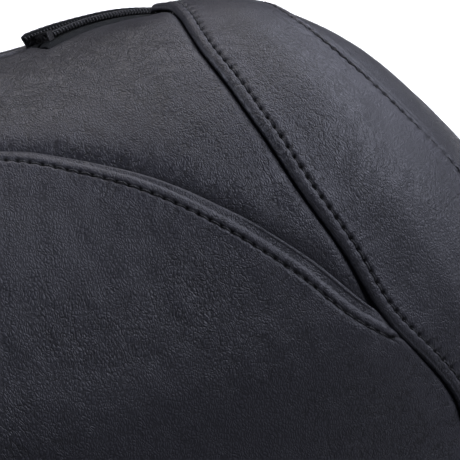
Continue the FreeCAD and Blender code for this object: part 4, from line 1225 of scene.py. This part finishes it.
def foam():
    """The foam with a pocket for the gel and grooves for the zips, in two blocks that meet at a slant."""
    stations = np.linspace(0, LAST, 15 * LAST + 1)
    shares = np.linspace(-1, 1, 121)
    u, t = np.meshgrid(stations, shares, indexing="ij")
    skin = SKIN.point(u, t)
    _, angle, beside = ZIP.measure(SKIN.point(u, np.abs(t)))
    at_zip = ramp(ZIP.from_angle - 0.08, ZIP.from_angle, angle)
    at_zip = at_zip * ramp(ZIP.to_angle + 0.08, ZIP.to_angle, angle)
    groove = FOAM_GROOVE * ramp(30, 10, np.abs(beside)) * at_zip
    pocket = (GEL_THICKNESS + 0.6) * gel_region(u, t)
    top = skin - SKIN.normal(u, t) * (FOAM_DEPTH + groove + pocket)[..., None]
    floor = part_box("base_pan")[1][2] / MM + 0.3
    top[..., 2] = np.maximum(top[..., 2], floor + 2)
    rows, columns = u.shape
    base = filled_outline(top)
    base[..., 2] = floor
    count = u.size
    loop = rim_loop(rows, columns)
    ahead = np.roll(loop, -1)
    quads = np.concatenate([
        grid_faces(rows, columns),
        count + grid_faces(rows, columns)[:, ::-1],
        np.stack([loop, count + loop, count + ahead, ahead], -1),
    ])
    points = np.concatenate([top.reshape(-1, 3), base.reshape(-1, 3)])
    foot = Vector((0, JOINT_FOOT_Y * MM, 0))
    across_joint = Vector((0, 1, -JOINT_LEAN)).normalized()
    blocks = (("foam_seat_block", "foam_cushion", 1), ("foam_bolster_block", "foam_bolster", -1))
    for name, node, way in blocks:
        made = make_object(name, points, [outward(points, quads)], SLOT_LOOKS["foam"])
        block = bmesh.new()
        block.from_mesh(made.data)
        parts = block.verts[:] + block.edges[:] + block.faces[:]
        bmesh.ops.bisect_plane(block, geom=parts, plane_co=foot - across_joint * way * 0.3 * MM,
                               plane_no=across_joint * way, clear_outer=True)
        rim = [edge for edge in block.edges if edge.is_boundary]
        capped = bmesh.ops.holes_fill(block, edges=rim)["faces"]
        bmesh.ops.triangulate(block, faces=capped)
        block.to_mesh(made.data)
        block.free()
        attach(made, "root")
        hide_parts(node)


def gel():
    """Gel inlay in the seat foam's pocket."""
    stations = np.linspace(*GEL_STATIONS, 70)
    u, t = np.meshgrid(stations, np.linspace(-GEL_HALF_SPAN, GEL_HALF_SPAN, 90), indexing="ij")
    skin = SKIN.point(u, t)
    normal = SKIN.normal(u, t)
    top = skin - normal * FOAM_DEPTH
    bottom = skin - normal * (FOAM_DEPTH + GEL_THICKNESS)
    points, quads, triangles = closed_sheet(top, bottom, roundness=0.5)
    made = make_object("gel_inlay", points, [quads, triangles], SLOT_LOOKS["gel"])
    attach(made, "root")
    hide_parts("gel_pad")


def tube_body(rows, around):
    """Quads between the rings of an open tube."""
    i, j = np.meshgrid(np.arange(rows - 1), np.arange(around), indexing="ij")
    j2 = (j + 1) % around
    corners = [i * around + j, i * around + j2, (i + 1) * around + j2, (i + 1) * around + j]
    return np.stack(corners, -1).reshape(-1, 4)


# ---------------------------------------------------------------- stitches
def stitches(name, line, side, from_run, to_run, bed):
    """A row of single stitches that dive into the leather at each needle hole."""
    count = int((to_run - from_run) / STITCH_PITCH)
    along_steps = 9
    around = 8
    source = np.random.default_rng(len(name) + 11 * (side + 1))
    slant = source.normal(0, 0.10, count)
    looseness = source.normal(0, 0.05, count)
    holes = STITCH_PITCH * (math.ceil(from_run / STITCH_PITCH) + np.arange(count))
    points = []
    faces = []
    share = np.linspace(0, 1, along_steps)
    for k, hole in enumerate(holes):
        run = hole + STITCH_PITCH * (0.04 + 0.92 * share)
        offset = side * (STITCH_OFFSET + slant[k] * (share - 0.5) * 2)
        place, normal, ahead = line.beside(run, 0.0)
        sideways = np.cross(normal, ahead)
        arc = np.sin(math.pi * share) ** 0.6
        rise = bed + (0.16 + looseness[k]) * arc - 0.75 * (1 - arc)
        centre = place + sideways * offset[:, None] + normal * rise[:, None]
        radius = THREAD_RADIUS * (0.7 + 0.3 * np.sin(math.pi * share) ** 0.4)
        turn = np.linspace(0, 2 * math.pi, around, endpoint=False)
        wide = np.cos(turn)[None, :, None] * sideways[:, None, :]
        tall = 0.86 * np.sin(turn)[None, :, None] * normal[:, None, :]
        tube = centre[:, None, :] + (wide + tall) * radius[:, None, None]
        first = len(points) * (along_steps * around + 2)
        tips = [centre[:1] - ahead[:1] * 0.2, centre[-1:] + ahead[-1:] * 0.2]
        points.append(np.concatenate([tube.reshape(-1, 3), *tips]))
        faces.append(first + tube_body(along_steps, around))
    quads = np.concatenate(faces)
    block = along_steps * around
    starts = np.arange(count) * (block + 2)
    j = np.arange(around)
    j2 = (j + 1) % around
    near = np.stack([np.broadcast_to(block, around), j2, j], -1)
    far = np.stack([np.broadcast_to(block + 1, around), block - around + j, block - around + j2], -1)
    caps = (starts[:, None, None] + np.stack([near, far]).reshape(1, -1, 3)).reshape(-1, 3)
    made = make_object("stitches_" + name, np.concatenate(points), [quads, caps], THREAD_LOOK)
    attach(made, "root")
    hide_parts("thread_" + name)


# ---------------------------------------------------------------- zips
def mirrored_if(points, side):
    return points if side > 0 else points * np.array((-1, 1, 1))


def zip_piece(name, points, faces, look, slot, side, *nodes):
    points = mirrored_if(points, side)
    made = make_object(name, points, [outward(points, faces)], look)
    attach(made, "root")
    if nodes:
        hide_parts(*nodes)
    return made


def ring_faces(rows, around):
    """Quads of a closed tube of rings, with its ends closed by strips."""
    body = tube_body(rows, around)
    k = np.arange(around // 2 - 1)
    near = np.stack([around - 1 - k, around - 2 - k, k + 1, k], -1)
    far = (rows - 1) * around + near[:, ::-1]
    return np.concatenate([body, near, far])


def row_name(row, name):
    return ("rear_" if row > 0 else "front_") + name


def wire_tube(line, radius):
    """Points of rings round a line, for a wire of that radius."""
    ahead = unit(np.gradient(line, axis=0))
    first = unit(np.cross(ahead, ZIP.axis))
    second = np.cross(ahead, first)
    spin = np.linspace(0, 2 * math.pi, WIRE_SIDES, endpoint=False)
    ring = np.cos(spin)[None, :, None] * first[:, None] + np.sin(spin)[None, :, None] * second[:, None]
    return (line[:, None] + radius * ring).reshape(-1, 3)


def coil(row, side, name):
    """Nylon coil of one side of a zip: a flattened helix sewn along the tape's edge."""
    inner_edge = min(abs(ZIP.teeth_inner), abs(ZIP.teeth_outer))
    outer_edge = max(abs(ZIP.teeth_inner), abs(ZIP.teeth_outer))
    from_angle = ZIP.from_angle + 1.6 / ZIP.radius
    to_angle = ZIP.to_angle - 1.6 / ZIP.radius
    turns = int((to_angle - from_angle) * ZIP.radius / COIL_PITCH)
    phase = np.arange(turns * LOOP_STEPS + 1) / LOOP_STEPS
    turn = 2 * math.pi * phase
    middle = 0.5 * (inner_edge + outer_edge)
    half_width = 0.5 * (outer_edge - inner_edge) - COIL_WIRE
    low = 0.62 + COIL_WIRE
    high = ZIP.teeth_top - COIL_WIRE
    across = np.sign(np.cos(turn)) * np.abs(np.cos(turn)) ** 0.75
    swing = np.sign(np.sin(turn)) * np.abs(np.sin(turn)) ** 0.8
    height = 0.5 * (low + high) + 0.5 * (high - low) * swing
    angle = from_angle + (phase + (0.5 if row > 0 else 0.0) + 0.16 * np.sin(turn)) * COIL_PITCH / ZIP.radius
    line = ZIP.place(angle, height, row * (middle - across * half_width))
    made_name = "coil_" + row_name(row, name)
    node = "zip_teeth_" + row_name(row, name)
    faces = ring_faces(len(line), WIRE_SIDES)
    zip_piece(made_name, wire_tube(line, COIL_WIRE), faces, COIL_LOOK, "zip_teeth", side, node)


def overlock(side, name):
    """Overlock sewing that holds the turned-up tape behind the coil: a flat row of close loops."""
    pitch = COIL_PITCH / ZIP.radius
    from_angle = ZIP.from_angle - (TAPE_OVERHANG - 0.5) / ZIP.radius
    turns = int((ZIP.to_angle - from_angle) / pitch) - 1
    phase = np.arange(turns * LOOP_STEPS + 1) / LOOP_STEPS
    turn = 2 * math.pi * phase
    bead = smooth(BEAD_LIFT, phase / turns)
    height = 2.15 + 0.5 * bead + (1.25 + 0.3 * bead) * np.sin(turn)
    angle = from_angle + (phase + 0.16 * np.cos(2 * turn)) * pitch
    line = ZIP.place(angle, height, 4.52 - 0.16 * np.cos(turn))
    faces = ring_faces(len(line), WIRE_SIDES)
    zip_piece("tape_overlock_" + name, wire_tube(line, LOOP_WIRE), faces, COIL_LOOK, "thread", side)


def tape(row, side, name):
    """Woven tape of one side of a zip; the rear one turns up to a corded edge behind the coil."""
    section = np.array(REAR_TAPE_SECTION if row > 0 else FRONT_TAPE_SECTION)
    overhang = TAPE_OVERHANG / ZIP.radius
    angle = np.linspace(ZIP.from_angle - overhang, ZIP.to_angle + 0.5 / ZIP.radius, 150)
    inset = np.abs(angle - angle[0]) * ZIP.radius
    droop = -0.5 * ramp(2.0, 0.0, inset)
    bead = smooth(BEAD_LIFT, (angle - angle[0]) / (angle[-1] - angle[0]))
    a, s = np.meshgrid(angle, section[:, 0], indexing="ij")
    raised = np.clip(section[:, 1] / section[:, 1].max(), 0, 1) if row > 0 else np.zeros(len(section))
    h = section[None, :, 1] + droop[:, None] + bead[:, None] * raised[None, :]
    fuzz = 0.04 * np.sin(a * ZIP.radius * 2.1 + s * 3)
    points = ZIP.place(a, h + fuzz, s).reshape(-1, 3)
    made_name = "tape_" + row_name(row, name)
    faces = ring_faces(len(angle), len(section))
    zip_piece(made_name, points, faces, TAPE_LOOK, "zip_tape", side, "zip_" + made_name)


# ---------------------------------------------------------------- stage
def soft_light(name, at, aim, width, depth, watts, tint=(1, 1, 1)):
    lamp = bpy.data.lights.new(name, "AREA")
    lamp.shape = "RECTANGLE"
    lamp.size = width
    lamp.size_y = depth
    lamp.energy = watts
    lamp.color = tint
    made = bpy.data.objects.new(name, lamp)
    made.location = at
    made.rotation_euler = (Vector(aim) - Vector(at)).to_track_quat("-Z", "Y").to_euler()
    bpy.context.scene.collection.objects.link(made)
    return made


def stage():
    """A plain white floor, a white surround, soft lights and the camera."""
    low, high = (Vector(c) for c in cad_box)
    size = high - low
    middle = 0.5 * (low + high)
    floor_mesh = bpy.data.meshes.new("floor")
    half = 14 * size.y
    corners = [(-half, -half, 0), (half, -half, 0), (half, half, 0), (-half, half, 0)]
    floor_mesh.from_pydata(corners, [], [(0, 1, 2, 3)])
    floor = bpy.data.objects.new("floor", floor_mesh)
    floor.location.z = low.z - 0.0005
    look = Shader("floor_paper", specular=0.2)
    tone = look.mix(look.noise(0.003, 2.0), (0.86, 0.86, 0.86, 1), (0.90, 0.90, 0.90, 1))
    floor_mesh.materials.append(look.finish(tone, look.span(look.noise(0.01), 0.3, 0.7, 0.8, 0.9)))
    bpy.context.scene.collection.objects.link(floor)

    world = bpy.data.worlds.new("surround")
    bpy.context.scene.world = world
    world.use_nodes = True
    world.node_tree.nodes["Background"].inputs["Color"].default_value = (0.93, 0.96, 1.0, 1)
    world.node_tree.nodes["Background"].inputs["Strength"].default_value = SURROUND

    aim = middle + Vector((0, 0, 0.3 * size.z))
    for name, (x, y, z), (wide, deep), power, tint in LIGHTS:
        soft_light(name, middle + Vector((x, y, z)) * size.y, aim, wide * size.y, deep * size.y, power, tint)

    # this light faces away from the seat and brightens only the floor behind it
    behind = middle + Vector((0.6, 1.2, 1.6)) * size.y
    beyond = middle + Vector((2.4, 5.0, -0.2)) * size.y
    soft_light("backdrop", behind, beyond, 3.0 * size.y, 1.2 * size.y, 26)

    view = bpy.context.scene.view_settings
    view.view_transform = "Standard"
    view.look = "None"

    lens = bpy.data.cameras.new("camera")
    camera = bpy.data.objects.new("camera", lens)
    bpy.context.scene.collection.objects.link(camera)
    azimuth, elevation = (math.radians(a) for a in CAMERA_ANGLES)
    level = math.cos(elevation)
    back = Vector((math.sin(azimuth) * level, -math.cos(azimuth) * level, math.sin(elevation)))
    target = low + Vector([f * s for f, s in zip(CAMERA_AIM, size)])
    camera.location = target + back * CAMERA_DISTANCE * size.y
    camera.rotation_euler = back.to_track_quat("Z", "Y").to_euler()
    lens.lens = CAMERA_LENS
    lens.sensor_width = 36
    lens.clip_start = 0.01
    bpy.context.scene.camera = camera


# ---------------------------------------------------------------- the whole seat
dress_nodes()
main_panel()
bolster_cap()
rear_panel()
crest_bridge()
nose()
hem()
foam()
gel()
stitches("arch", ARCH_LINE, -1, ARCH_ENDS[0], ARCH_ENDS[1], STITCH_LEVEL + 0.75 * (ARCH_FOLD - 1))
for side, name in ((1, "left"), (-1, "right")):
    band(side, name)
    skirt(side, name)
    inner, outer = INNER_LINES[side], OUTER_LINES[side]
    stitches("band_inner_" + name, inner, -side, 8, inner.length - 30, BAND_RISE + STITCH_LEVEL)
    stitches("band_outer_" + name, outer, side, 8, outer.length - 20, BAND_RISE + STITCH_LEVEL)
    overlock(side, name)
    for row in (1, -1):
        tape(row, side, name)
        coil(row, side, name)
stage()
